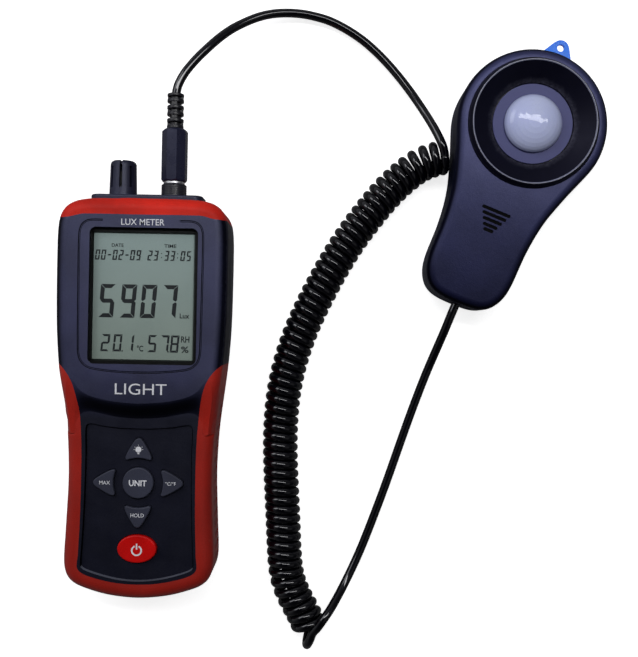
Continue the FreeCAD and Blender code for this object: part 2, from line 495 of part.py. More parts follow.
# ---------------------------------------------------------------- power
battery = rrect(-BAT_X / 2, BAT_CY - BAT_Y / 2, BAT_X / 2, BAT_CY + BAT_Y / 2 - 2.0, 2.5, 2.6, 2.6 + BAT_Z)
battery = battery.fuse(cyl_y(3.0, -6.35, 2.6 + BAT_Z / 2, BAT_CY + BAT_Y / 2 - 2.1, BAT_CY + BAT_Y / 2)).fuse(cyl_y(3.9, 6.35, 2.6 + BAT_Z / 2, BAT_CY + BAT_Y / 2 - 2.1, BAT_CY + BAT_Y / 2))
save("battery", battery)
clip_y = BAT_CY + BAT_Y / 2 + 0.02
clip = rrect(-12.5, 5.0, 12.5, 18.0, 3.0, 0, 2.6)
clip.rotate(V(0, 0, 0), V(1, 0, 0), 90)
clip.translate(V(0, clip_y + 2.6, 0))
lead = []
for x in (-1.6, 1.6):
    lead.append(cyl_y(0.7, x, 17.0, clip_y + 2.4, clip_y + 9.0).fuse(cyl(0.7, x, clip_y + 8.6, 16.5, PCB_Z0 - 0.02)))
save("battery_clip", clip)
save("battery_clip_wires", [l.cut(clip) for l in lead])

door = rrect(-DOOR_X, DOOR_Y0, DOOR_X, DOOR_Y1, 2.0, 0.0, DOOR_T - 0.02)
door = door.makeChamfer(0.3, at_z(door, 0.0))
for x in (-8.5, 8.5):
    door = door.fuse(box(x - 1.9, bay_y0 + 0.04, 1.0, x + 1.9, bay_y0 + 0.54, DOOR_T + 1.2))
for k in range(5):
    door = door.cut(Part.makeCylinder(0.55, 14, V(-7, -58.0 + 2.4 * k, 0.05 - 0.3), V(1, 0, 0)))
sy = bay_y1 + 3.2
door = door.cut(cyl(1.6, 0, sy, -1, 5)).cut(cyl(2.9, 0, sy, -1, 1.3))
foam = box(-9, BAT_CY - 12, DOOR_T - 0.01, 9, BAT_CY + 12, 2.58)
save("battery_door", door)
save("battery_door_pad", foam)


def screw(x, y, z0, z1, shank, head_r, head_h, cross=True):
    """Pan-head screw driven from below, head bottom at z0."""
    s = cyl(head_r, x, y, z0, z0 + head_h)
    s = s.makeFillet(min(0.5, head_h * 0.45), [e for e in s.Edges if e.BoundBox.ZMax < z0 + 0.01])
    s = s.fuse(cyl(shank, x, y, z0 + head_h - 0.05, z1))
    if cross:
        s = s.cut(box(x - head_r * 0.6, y - 0.25, z0 - 1, x + head_r * 0.6, y + 0.25, z0 + 0.9))
        s = s.cut(box(x - 0.25, y - head_r * 0.6, z0 - 1, x + 0.25, y + head_r * 0.6, z0 + 0.9))
    return s


save("battery_door_screw", screw(0, sy, 0.05, 7.6, 1.2, 2.7, 1.2))
save("case_screws", [screw(x, y, 1.0, 25.4, 1.42, 2.8, 1.58) for x, y in BOSSES])
save("rating_label", rrect(-20.8, 22.2, 20.8, 61.8, 1.8, 0.1, 0.33))

# ---------------------------------------------------------------- plug
octo = []
af = 5.2
R8 = af / math.cos(math.pi / 8)
oct_pts = [V(JACK_X + R8 * math.cos(math.radians(22.5 + 45 * k + 6)), 93.4, TOP_AXIS_Z + R8 * math.sin(math.radians(22.5 + 45 * k + 6))) for k in range(8)]
barrel = Part.Face(Part.makePolygon(oct_pts + [oct_pts[0]])).extrude(V(0, 22.8, 0))
cone = lambda y0, r0, y1, r1: Part.makeCone(r0, r1, abs(y1 - y0), V(JACK_X, y0, TOP_AXIS_Z), V(0, 1 if y1 > y0 else -1, 0))
chamf = Part.Face(Part.makePolygon([V(JACK_X, 93.4, TOP_AXIS_Z), V(JACK_X + 4.9, 93.4, TOP_AXIS_Z), V(JACK_X + 5.9, 94.6, TOP_AXIS_Z), V(JACK_X + 5.9, 114.9, TOP_AXIS_Z), V(JACK_X + 4.4, 116.2, TOP_AXIS_Z), V(JACK_X, 116.2, TOP_AXIS_Z), V(JACK_X, 93.4, TOP_AXIS_Z)])).revolve(V(JACK_X, 0, TOP_AXIS_Z), V(0, 1, 0), 360)
barrel = barrel.common(chamf)
barrel = barrel.cut(cyl_y(2.0, JACK_X, TOP_AXIS_Z, 104, 120)).cut(cyl_y(2.02, JACK_X, TOP_AXIS_Z, 90, 104.5))
save("plug_barrel", barrel)
py = 92.36
pin_prof = [(0, 78.3), (0.55, 78.3), (1.35, 79.6), (1.55, 80.4), (1.1, 81.4), (1.1, 82.0), (1.7, 82.8), (1.75, 83.2), (1.75, py), (4.35, py), (4.5, py + 0.2), (4.5, 93.36), (2.0, 93.36), (2.0, 99.0), (0, 99.0)]
pts = [V(JACK_X + r, y, TOP_AXIS_Z) for r, y in pin_prof]
pin = Part.Face(Part.makePolygon(pts + [pts[0]])).revolve(V(JACK_X, 0, TOP_AXIS_Z), V(0, 1, 0), 360)
ring = lambda y0, y1: cyl_y(1.75, JACK_X, TOP_AXIS_Z, y0, y1).cut(cyl_y(1.25, JACK_X, TOP_AXIS_Z, y0 - 1, y1 + 1))
r1, r2 = ring(83.6, 84.4), ring(87.2, 88.0)
pin = pin.cut(r1).cut(r2)
save("plug_pin", pin)
save("plug_insulators", [r1, r2])

# segmented strain relief: rings joined by bridges that alternate sides
sr = cyl_y(2.45, JACK_X, TOP_AXIS_Z, 116.22, 131.3)
k = 0
y = 116.22
rings = [(116.22, 118.0, 3.6)] + [(119.1 + 2.85 * i, 120.75 + 2.85 * i, 3.6) for i in range(4)] + [(130.2, 131.6, 3.6)]
for y0, y1, r in rings:
    c_ = cyl_y(r, JACK_X, TOP_AXIS_Z, y0, y1)
    c_ = c_.makeFillet(0.45, [e for e in c_.Edges if len(e.Vertexes) == 1 or e.Closed])
    sr = sr.fuse(c_)
for i, (a_, b_) in enumerate(zip(rings, rings[1:])):
    if i % 2 == 0:
        sr = sr.fuse(box(JACK_X - 3.3, a_[1] - 0.4, TOP_AXIS_Z - 1.1, JACK_X + 3.3, b_[0] + 0.4, TOP_AXIS_Z + 1.1))
    else:
        sr = sr.fuse(box(JACK_X - 1.1, a_[1] - 0.4, TOP_AXIS_Z - 3.3, JACK_X + 1.1, b_[0] + 0.4, TOP_AXIS_Z + 3.3))
sr = sr.cut(cyl_y(2.03, JACK_X, TOP_AXIS_Z, 110, 140)).removeSplitter()
save("strain_relief", sr)


# ---------------------------------------------------------------- cord
COIL_Z = 7.76
COIL_LINE = [(128.3, 108.2), (124.5, 107.2), (120.2, 105.6), (116.0, 103.2), (108.7, 97.1), (103.0, 91.2), (95.4, 81.7), (88.0, 71.4), (81.6, 60.9), (75.9, 50.2),
             (70.9, 39.9), (66.4, 29.2), (62.8, 18.0), (60.6, 8.6), (59.2, -1.2), (58.5, -14.0), (58.6, -24.0), (59.1, -34.5), (59.8, -45.3), (60.5, -56.4), (61.1, -66.5),
             (62.0, -75.6), (63.2, -80.8), (64.9, -85.3), (67.0, -89.5), (69.3, -93.5), (71.1, -97.0), (72.4, -99.7), (73.7, -101.8), (75.2, -103.2)]
UPPER_LINE = [(9.9, 134.0, 17.45), (13.0, 139.6, 16.9), (18.5, 147.0, 15.6), (23.78, 153.1, 14.0), (28.72, 158.3, 12.2), (33.74, 162.7, 10.3), (38.83, 166.1, 8.6), (43.98, 168.9, 7.1),
              (49.24, 170.9, 5.8), (54.54, 172.0, 4.8), (59.88, 172.4, 4.0), (65.24, 172.2, 3.4), (70.67, 171.3, 3.0), (76.11, 169.9, 2.7), (81.56, 167.6, 2.5),
              (87.01, 164.6, 2.4), (92.46, 160.9, 2.4), (98.0, 156.2, 2.5), (103.42, 150.7, 2.9), (108.89, 144.2, 3.8), (114.26, 136.8, 5.4), (119.4, 128.6, 7.8),
              (122.6, 122.6, 10.6), (125.35, 116.8, 13.0), (127.3, 112.0, 14.3)]
LOWER_LINE = [(79.2, -96.85, 14.1), (81.75, -92.95, 12.5), (84.2, -88.9, 10.1), (86.7, -84.9, 7.8), (88.94, -80.93, 5.8), (91.08, -76.8, 4.5), (95.06, -68.1, 2.9), (98.6, -59.1, 2.3),
              (101.9, -50.06, 2.2), (105.1, -41.02, 2.2), (108.15, -31.98, 2.2), (111.16, -22.84, 2.2), (114.15, -13.79, 2.3), (117.2, -4.72, 2.6), (120.38, 4.45, 3.3),
              (123.63, 13.53, 4.6), (127.1, 22.66, 6.6), (130.6, 31.9, 8.9)]


def sweep(points, r, frenet=False):
    """Round rod along a curve through 3-D points."""
    c = Part.BSplineCurve()
    c.interpolate(Points=[V(*p) for p in points])
    ps = Part.BRepOffsetAPI.MakePipeShell(Part.Wire([c.toShape()]))
    if frenet:
        ps.setFrenetMode(True)
    else:
        ps.setBiNormalMode(V(0, 0, 1))
    ps.add(Part.Wire([Part.makeCircle(r, c.value(c.FirstParameter), c.tangent(c.FirstParameter)[0])]))
    ps.build()
    ps.makeSolid()
    return outward(ps.shape())


line = Part.BSplineCurve()
line.approximate(Points=[V(x, y, COIL_Z) for x, y in COIL_LINE], DegMin=3, DegMax=3, Tolerance=0.2)
step = 0.25
count = int(line.length() / step)
prm = [line.parameterAtDistance(i * step) for i in range(count + 1)]
samples = [(line.value(u), line.tangent(u)[0], line.curvature(u)) for u in prm]
turns = [0.0]
for p, t, k in samples[1:]:
    # the pitch is opened on bends so that the inner sides of the turns do not touch
    turns.append(turns[-1] + step * (1 - min(0.6, COIL_R * k)) / COIL_PITCH)
total = round(turns[-1])
scale = total / turns[-1]
per_turn = 12
helix, j = [], 0
for i in range(total * per_turn + 1):
    target = min(i / per_turn, total - 1e-9)
    while turns[j + 1] * scale < target and j < len(turns) - 2:
        j += 1
    f = (target - turns[j] * scale) / ((turns[j + 1] - turns[j]) * scale)
    p = samples[j][0] * (1 - f) + samples[j + 1][0] * f
    t = (samples[j][1] * (1 - f) + samples[j + 1][1] * f).normalize()
    side = V(-t.y, t.x, 0)
    a = math.pi / 2 - 2 * math.pi * i / per_turn
    helix.append(p + side * (COIL_R * math.cos(a)) + V(0, 0, COIL_R * math.sin(a)))
h0, h1 = helix[0], helix[-1]
s0 = V(-samples[0][1].y, samples[0][1].x, 0)
s1 = V(-samples[-1][1].y, samples[-1][1].x, 0)
print("coil turns", total, "ends", h0, h1, "directions", s0, s1, round(time.time() - T0, 1))
coil = sweep([tuple(p) for p in helix], CABLE_R, True)
save("coiled_cord", coil)
gap = 0.5
e0, e1 = h0 - s0 * gap, h1 + s1 * gap
ca, sa = math.cos(math.radians(HEAD_ANGLE)), math.sin(math.radians(HEAD_ANGLE))


def to_world(x, y, z):
    return (HEAD_CX + x * ca - y * sa, HEAD_CY + x * sa + y * ca, z)


upper_pts = [(JACK_X, 104.6, TOP_AXIS_Z), (JACK_X, 111.0, TOP_AXIS_Z), (JACK_X, 118.0, TOP_AXIS_Z), (JACK_X, 125.0, TOP_AXIS_Z), (JACK_X + 0.01, 130.0, TOP_AXIS_Z)]
upper_pts = upper_pts + [(11.4, 134.9, 17.4), (13.9, 140.5, 16.8)] + UPPER_LINE[2:] + [tuple(e0)]
save("upper_lead", sweep(upper_pts, CABLE_R))
lower_pts = [tuple(e1), (e1.x + s1.x * 2.6 + 0.2, e1.y + s1.y * 2.6 - 0.15, e1.z + 0.45)] + LOWER_LINE + [to_world(1.0, -88.5, HEAD_PART_Z - 0.25), to_world(1.0, -83.2, HEAD_PART_Z), to_world(1.0, -78.0, HEAD_PART_Z), to_world(1.0, -72.0, HEAD_PART_Z)]
save("lower_lead", sweep(lower_pts, CABLE_R))

# ---------------------------------------------------------------- sensor head
arc = [(HEAD_R * math.cos(math.radians(a)), HEAD_R * math.sin(math.radians(a))) for a in (90, 75, 60, 45, 30, 15, 0, -11)]
HEAD_HALF = arc + [(30.45, -10.8), (28.75, -15.4), (27.0, -20.0), (25.3, -24.6), (23.6, -29.8), (21.6, -36.6), (20.4, -43), (19.7, -49), (19.35, -55), (19.3, -61),
                   (19.2, -66.5), (18.7, -71), (17.4, -75.3), (15.2, -78.8), (12.3, -81.3), (7.5, -82.8), (0, -83.2)]
HEAD = resample_curved(catmull(mirror_half(HEAD_HALF), True, 40), 52)
if area(HEAD) < 0:
    HEAD = HEAD[::-1]


def top_curve(drop):
    pts = [(60, HEAD_TOP_Z), (20, HEAD_TOP_Z), (0, HEAD_TOP_Z), (-20, HEAD_TOP_Z), (-34, HEAD_TOP_Z - 0.15), (-46, HEAD_TOP_Z - 0.75), (-60, HEAD_TOP_Z - 1.7), (-75, HEAD_TOP_Z - 2.6), (-95, HEAD_END_Z - 0.8), (-110, HEAD_END_Z - 1.8)]
    c = Part.BSplineCurve()
    c.interpolate(Points=[V(-60, y, z - drop) for y, z in pts])
    return c


def under_top(drop, z0):
    """Everything below the sloping top of the head."""
    c = top_curve(drop)
    a, b = c.value(c.FirstParameter), c.value(c.LastParameter)
    f = Part.Face(Part.Wire([c.toShape(), Part.makeLine(b, V(-60, b.y, z0)), Part.makeLine(V(-60, b.y, z0), V(-60, a.y, z0)), Part.makeLine(V(-60, a.y, z0), a)]))
    return outward(f.extrude(V(120, 0, 0)))


def top_z(y):
    c = top_curve(0)
    lo, hi = c.FirstParameter, c.LastParameter
    for _ in range(40):
        m = (lo + hi) / 2
        if c.value(m).y > y:
            lo = m
        else:
            hi = m
    return c.value(lo).z


upper_block = prism(HEAD, HEAD_PART_Z, 40).common(under_top(0, 0))
rim = [e for e in upper_block.Edges if e.BoundBox.ZMin > 18]
for r in (3.8, 3.2, 2.4):
    try:
        rounded = upper_block.makeFillet(r, rim)
        if rounded.isValid() and rounded.Volume > 0:
            print("head rim radius", r)
            upper_block = rounded
            break
    except Exception:
        pass
HEAD_BOSS = [(-24.4, 10.5), (24.4, 10.5), (-12.5, -56.0), (12.5, -56.0)]
head_cav = prism(inset(HEAD, 2.4), HEAD_PART_Z - 1, 40).common(under_top(2.5, 0)).cut([cyl(2.9, x, y, HEAD_PART_Z, 30) for x, y in HEAD_BOSS])
bars = []
for hw, y in ((6.5, -40.9), (5.45, -43.1), (4.4, -45.3), (3.35, -47.6), (2.3, -49.6)):
    z = top_z(y) - 0.4
    bars.append(rrect(-hw, y - 0.72, hw, y + 0.72, 0.7, z, z + 3))
cord_hole = Part.makeCylinder(CABLE_R + 0.08, 30, V(1.0, -95.0, HEAD_PART_Z), V(0, 1, 0))
head_upper = upper_block.cut([head_cav, cyl(26.45, 0, 0, 15, 40), cord_hole] + bars + [cyl(1.25, x, y, 5, 19.0) for x, y in HEAD_BOSS])
lower_block = prism(HEAD, 0, HEAD_PART_Z)
lower_block = lower_block.makeFillet(2.2, at_z(lower_block, 0))
lower_cav = prism(inset(HEAD, 2.4), 2.4, HEAD_PART_Z + 1).cut([cyl(2.9, x, y, 0, HEAD_PART_Z - 0.1) for x, y in HEAD_BOSS] + [box(-8.5, -80.3, 0, 8.5, -74.0, 7.6)])
TAB_HALF = [(0, 42.6), (1.5, 42.3), (2.75, 41.4), (3.75, 40.0), (4.7, 38.4), (5.7, 36.7), (6.7, 35.0), (7.6, 33.2), (8.2, 31.2), (8.3, 29.4), (8.0, 27.4), (6.5, 26.6), (3, 26.5), (0, 26.5)]
TAB = resample_curved(catmull(mirror_half(TAB_HALF), True), 32, 4.0)
if area(TAB) < 0:
    TAB = TAB[::-1]
tab_slot = prism(inset(TAB, -0.12), HEAD_PART_Z - 1.65, HEAD_PART_Z + 1)
head_lower = lower_block.cut([lower_cav, cord_hole, tab_slot] + [cyl(1.4, x, y, -1, 12) for x, y in HEAD_BOSS] + [cyl(2.6, x, y, -1, 1.9) for x, y in HEAD_BOSS])
tab = prism(TAB, HEAD_PART_Z - 1.6, HEAD_PART_Z - 0.05).cut(cyl(1.55, 0, 39.1, 0, 20))
print("head shells", head_upper.isValid(), len(head_upper.Solids), head_lower.isValid(), len(head_lower.Solids), round(time.time() - T0, 1))

ring_profile = [(COLLAR_R, HEAD_TOP_Z + 0.03), (27.2, 26.2), (26.9, 26.9), (26.5, COLLAR_Z), (26.2, COLLAR_Z), (25.9, 27.15), (17.6, 22.35), (17.5, 21.0), (26.2, 21.0), (26.2, HEAD_TOP_Z + 0.03)]
baffle = revolve_z(ring_profile)
dome = [(0, 18.6), (12.0, 18.6), (12.0, 20.9), (17.2, 20.9), (17.2, DISC_Z - 0.15), (17.05, DISC_Z), (DOME_R + 0.1, DISC_Z)]
for k in range(9):
    a = math.radians(90 * k / 8)
    dome.append((DOME_R * math.cos(a) ** 0.9 if k < 8 else 0.0, DISC_Z + 0.3 + (DOME_Z - DISC_Z - 0.3) * math.sin(a)))
diffuser = revolve_z(dome)
holder = revolve_z([(9.0, 9.62), (18.6, 9.62), (18.6, 20.85), (12.3, 20.85), (12.3, 17.2), (8.2, 17.2), (8.2, 15.6), (7.0, 15.6), (7.0, 13.6), (9.0, 13.6)])
holder = holder.cut([cyl(1.2, 0, 16.5, 5, 12), cyl(1.2, 0, -16.5, 5, 12)])
green = cyl(8.05, 0, 0, 15.65, 17.15)
diode = cyl(4.6, 0, 0, 10.2, 12.6).fuse(box(-5.2, -5.2, 9.62, 5.2, 5.2, 10.3))
board = prism(inset(HEAD, 4.2), 8.0, 9.6).common(box(-40, -50.5, 0, 40, 40, 30)).cut([cyl(3.3, x, y, 5, 12) for x, y in HEAD_BOSS] + [box(-9.2, 24.0, 5, 9.2, 40, 12)])
clamp = box(-8.0, -79.6, 9.2, 10.0, -75.0, 13.6).cut([Part.makeCylinder(CABLE_R + 0.03, 30, V(1.0, -90.0, HEAD_PART_Z), V(0, 1, 0))] + [cyl(1.1, x, -77.3, 5, 15) for x in (-4.6, 6.6)] + [box(-20, -90, 5, 20, -60, 9.3)])
clamp_screws = [cyl(1.0, x, -77.3, 5.0, 13.7).fuse(cyl(1.9, x, -77.3, 13.62, 15.0)) for x in (-4.6, 6.6)]
head_lower = head_lower.fuse([box(-7.6, -79.9, 2.0, -2.2, -74.6, 9.15), box(4.2, -79.9, 2.0, 9.6, -74.6, 9.15)]).cut([cyl(1.02, x, -77.3, 4.0, 12) for x in (-4.6, 6.6)])
head_screws = [screw(x, y, 0.15, 18.5, 1.2, 2.4, 1.7) for x, y in HEAD_BOSS]


def place(shape):
    shapes = shape if isinstance(shape, list) else [shape]
    out = []
    for s in shapes:
        s = s.copy()
        s.rotate(V(0, 0, 0), V(0, 0, 1), HEAD_ANGLE)
        s.translate(V(HEAD_CX, HEAD_CY, 0))
        out.append(s)
    return out


save("head_upper_shell", place(head_upper))
save("head_lower_shell", place(head_lower))
save("baffle_ring", place(baffle))
save("light_diffuser", place(diffuser))
save("filter_holder", place(holder))
save("green_filter", place(green))
save("photodiode", place(diode))
save("sensor_board", place(board))
save("cord_clamp", place(clamp))
save("clamp_screws", place(clamp_screws))
save("head_screws", place(head_screws))
save("hanging_tab", place(tab))
print("nodes", len(made), "time", round(time.time() - T0, 1))
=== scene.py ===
"""Looks of a handheld light meter with a sensor head on a coiled cord.

The set lies on the floor at z = 0 with +Z up. The meter stands around x = 0 with its long axis
along Y, screen and keys facing +Z, and the plug at its +Y end. The cord arches over to +X, winds
down towards -Y as a coil and runs back up to the sensor head, which is turned clockwise.
Scene units are metres; tables and drawn shapes are in millimetres and are scaled by MM.
"""
import bpy
import math
import random
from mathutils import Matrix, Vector

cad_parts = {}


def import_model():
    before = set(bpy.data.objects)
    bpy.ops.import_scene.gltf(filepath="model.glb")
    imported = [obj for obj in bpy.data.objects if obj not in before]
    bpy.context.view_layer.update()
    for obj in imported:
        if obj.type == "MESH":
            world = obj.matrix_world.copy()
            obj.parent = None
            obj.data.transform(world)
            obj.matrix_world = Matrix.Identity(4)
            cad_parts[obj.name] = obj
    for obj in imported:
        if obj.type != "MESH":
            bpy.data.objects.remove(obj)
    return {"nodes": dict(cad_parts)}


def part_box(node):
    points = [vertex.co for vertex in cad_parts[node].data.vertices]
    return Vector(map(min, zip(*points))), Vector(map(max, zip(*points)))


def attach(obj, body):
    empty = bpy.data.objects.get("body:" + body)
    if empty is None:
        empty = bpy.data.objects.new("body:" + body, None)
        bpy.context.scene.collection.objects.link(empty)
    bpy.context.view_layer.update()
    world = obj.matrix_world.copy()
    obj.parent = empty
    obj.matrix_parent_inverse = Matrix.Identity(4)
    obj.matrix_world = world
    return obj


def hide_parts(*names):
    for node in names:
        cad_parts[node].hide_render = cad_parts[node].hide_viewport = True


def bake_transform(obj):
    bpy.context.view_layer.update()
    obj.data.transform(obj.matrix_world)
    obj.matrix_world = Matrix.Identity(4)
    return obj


random.seed(41)
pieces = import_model()["nodes"]
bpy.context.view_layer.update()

MM = 0.001
PRINT_GAP = 0.004       # print above a key top
PRINT_TOP = 0.045       # upper face of the drawn key symbols
HOOD_PRINT_GAP = 0.005  # print above the front case
LCD_GAP = 0.01          # figures above the display glass

# sensor head in the row frame: centre, turn about Z, height of its parting plane
HEAD_X, HEAD_Y = 164.6, 120.7
HEAD_ANGLE = math.radians(-21.7)
HEAD_COS, HEAD_SIN = math.cos(HEAD_ANGLE), math.sin(HEAD_ANGLE)
HEAD_PART_Z = 10.5

MATERIALS = {}


# ------------------------------------------------------------------ node graphs
class Graph:
    """Short calls for building one node tree."""

    def __init__(self, tree):
        tree.nodes.clear()
        self.tree = tree

    def node(self, kind, **settings):
        node = self.tree.nodes.new(kind)
        for key, value in settings.items():
            setattr(node, key, value)
        return node

    def plug(self, socket, value):
        """Links another socket, or sets a plain value; colours get an alpha of 1."""
        if isinstance(value, bpy.types.NodeSocket):
            self.tree.links.new(value, socket)
        elif socket.type == "RGBA":
            socket.default_value = (*value, 1.0)
        else:
            socket.default_value = value

    def feed(self, node, **values):
        """Plugs inputs by name, with underscores for the spaces."""
        for key, value in values.items():
            self.plug(node.inputs[key.replace("_", " ")], value)

    def math(self, operation, *operands):
        node = self.node("ShaderNodeMath", operation=operation)
        for socket, value in zip(node.inputs, operands):
            self.plug(socket, value)
        return node.outputs[0]

    def ramp(self, factor, *stops):
        """Colour ramp; each stop is a position and a colour or grey level."""
        node = self.node("ShaderNodeValToRGB")
        elements = node.color_ramp.elements
        while len(elements) < len(stops):
            elements.new(0.5)
        for element, (position, tone) in zip(elements, stops):
            element.position = position
            element.color = (*tone, 1.0) if isinstance(tone, tuple) else (tone, tone, tone, 1.0)
        self.feed(node, Fac=factor)
        return node.outputs["Color"]

    def mix(self, factor, first, second, blend="MIX"):
        node = self.node("ShaderNodeMix", data_type="RGBA", blend_type=blend)
        for index, value in ((0, factor), (6, first), (7, second)):
            self.plug(node.inputs[index], value)
        return node.outputs[2]

    def multiply(self, first, second):
        return self.mix(1.0, first, second, "MULTIPLY")

    def speckled(self, colour, speckle, amount):
        return self.mix(amount, colour, self.multiply(colour, speckle))

    def noise(self, vector, scale, detail, rough):
        node = self.node("ShaderNodeTexNoise")
        self.feed(node, Scale=scale, Detail=detail, Roughness=rough, Vector=vector)
        return node.outputs["Fac"]

    def coords(self):
        return self.node("ShaderNodeTexCoord").outputs["Object"]

    def split(self, vector):
        node = self.node("ShaderNodeSeparateXYZ")
        self.plug(node.inputs[0], vector)
        return node.outputs

    def geometry(self, output):
        return self.node("ShaderNodeNewGeometry").outputs[output]

    def edges(self, low=0.52, high=0.62):
        """Mask of the convex edges, rising between two pointiness levels."""
        pointiness = self.geometry("Pointiness")
        return self.ramp(pointiness, (0.0, 0.0), (low, 0.0), (high, 1.0), (1.0, 1.0))

    def grain_height(self, fine, medium):
        return self.math("ADD", self.math("MULTIPLY", fine, 0.6),
                         self.math("MULTIPLY", medium, 0.5))

    def bump(self, target, height, strength, distance):
        node = self.node("ShaderNodeBump")
        self.feed(node, Strength=strength, Distance=distance, Height=height)
        self.feed(target, Normal=node.outputs["Normal"])


def new_material(name):
    material = bpy.data.materials.new(name)
    material.use_nodes = True
    MATERIALS[name] = material
    graph = Graph(material.node_tree)
    return graph, graph.node("ShaderNodeOutputMaterial")


def principled(name):
    graph, output = new_material(name)
    surface = graph.node("ShaderNodeBsdfPrincipled")
    graph.feed(output, Surface=surface.outputs[0])
    return graph, surface


def scaled(colour, factor):
    return tuple(min(1.0, c * factor) for c in colour)


# ------------------------------------------------------------------ material kinds
def moulded(name, base, light=1.25, dark=0.75, rough=(0.42, 0.56), spark=2600.0, bump=0.10,
            wear=0.25, wear_colour=None, specular=0.5, tint=(1.0, 1.0, 1.0), sheen=0.0, grain=0.3,
            coat=0.0, coat_rough=0.3, coat_ior=1.5, painted_end_shade=None, slope=None, shade=None):
    """Moulded plastic or rubber: fine spark-eroded grain, slow tone drift, handled edges.

    light, dark: drift of the base colour; spark: scale of the grain; grain: its share.
    painted_end_shade: painted shade towards the -Y end; y of full shade, y of none, the shaded
    colour.
    slope: painted shade on rounded rims; normal z of full darkening, normal z of none, darkest
    level.
    shade: the same for slopes that face -Y, by how far they face it.
    """
    graph, surface = principled(name)
    place = graph.coords()
    slow = graph.noise(place, scale=55.0, detail=3.0, rough=0.5)
    fine = graph.noise(place, scale=spark, detail=2.0, rough=0.6)
    medium = graph.noise(place, scale=spark * 0.32, detail=3.0, rough=0.6)
    speckle = graph.ramp(fine, (0.3, 0.55), (0.7, 1.45))

    def finish(colour):
        drift = graph.ramp(slow, (0.3, scaled(colour, dark)), (0.7, scaled(colour, light)))
        return graph.speckled(drift, speckle, grain)

    colour = finish(base)
    if wear > 0:
        worn = wear_colour or tuple(min(1.0, c * 1.8 + 0.02) for c in base)
        patches = graph.ramp(medium, (0.35, 0.2), (0.7, 1.0))
        mask = graph.math("MULTIPLY", graph.edges(), patches)
        colour = graph.mix(graph.math("MULTIPLY", mask, wear), colour, worn)
    if painted_end_shade:
        # painted shade: a darker copy of the colour towards the -Y end, where less lamp light
        # falls
        y_dark, y_light, shaded_base = painted_end_shade
        rise = graph.math("SUBTRACT", graph.split(place)["Y"], y_dark)
        rise = graph.math("MULTIPLY", rise, 1.0 / (y_light - y_dark))
        mask = graph.ramp(rise, (0.0, 1.0), (1.0, 0.0))
        colour = graph.mix(mask, colour, finish(shaded_base))
        dull = graph.ramp(mask, (0.0, 1.0), (1.0, 0.55))
    uneven = graph.noise(place, scale=130.0, detail=4.0, rough=0.6)
    graph.feed(surface, Roughness=graph.ramp(uneven, (0.25, rough[0]), (0.75, rough[1])),
               Specular_IOR_Level=specular, Specular_Tint=tint, Sheen_Weight=sheen,
               Coat_Weight=coat, Coat_Roughness=coat_rough, Coat_IOR=coat_ior)
    if slope:
        # painted shade: rounded-over rims are darker and duller than the flat top
        facing = graph.split(graph.geometry("Normal"))
        low, high, level = slope
        flat = graph.ramp(facing["Z"], (0.0, level), (low, level), (high, 1.0), (1.0, 1.0))
        colour = graph.multiply(colour, flat)
        if shade:
            low, high, level = shade
            away = graph.math("MULTIPLY", facing["Y"], -1.0)
            away = graph.ramp(away, (0.0, 1.0), (low, 1.0), (high, level), (1.0, level))
            colour = graph.multiply(colour, away)
            flat = graph.math("MULTIPLY", flat, away)
        if painted_end_shade:
            flat = graph.math("MULTIPLY", flat, dull)
        graph.feed(surface, Specular_IOR_Level=graph.math("MULTIPLY", flat, specular))
    graph.feed(surface, Base_Color=colour)
    height = graph.grain_height(fine, medium)
    graph.bump(surface, height, strength=bump, distance=0.0003)


def metal(name, base, rough):
    """Metal brushed along X, with faint stains."""
    graph, surface = principled(name)
    place = graph.coords()
    mapping = graph.node("ShaderNodeMapping")
    graph.feed(mapping, Scale=(40.0, 1400.0, 1400.0), Vector=place)
    streak = graph.noise(mapping.outputs[0], scale=1.0, detail=5.0, rough=0.6)
    blot = graph.noise(place, scale=160.0, detail=4.0, rough=0.6)
    stain = (0.35, 0.3, 0.25)
    colour = graph.mix(graph.ramp(blot, (0.55, 0.0), (0.85, 0.35)), base, stain)
    colour = graph.mix(graph.ramp(streak, (0.3, 0.0), (0.8, 0.25)), colour, scaled(base, 0.6))
    graph.feed(surface, Metallic=1.0, Base_Color=colour,
               Roughness=graph.ramp(streak, (0.2, rough[0]), (0.8, rough[1])))
    graph.bump(surface, streak, strength=0.06, distance=0.0002)


def opal(name, first, second, rough, subsurface):
    """Milky or tinted plastic with light scattered inside."""
    graph, surface = principled(name)
    place = graph.coords()
    slow = graph.noise(place, scale=70.0, detail=3.0, rough=0.5)
    fine = graph.noise(place, scale=2600.0, detail=2.0, rough=0.5)
    colour = graph.ramp(slow, (0.3, first), (0.7, second))
    colour = graph.speckled(colour, graph.ramp(fine, (0.3, 0.85), (0.7, 1.15)), 0.25)
    graph.feed(surface, Base_Color=colour, Subsurface_Weight=subsurface,
               Subsurface_Radius=(0.002, 0.002, 0.0025), Subsurface_Scale=0.5,
               Roughness=graph.ramp(slow, (0.2, rough), (0.8, rough + 0.1)))
    graph.bump(surface, fine, strength=0.05, distance=0.0002)


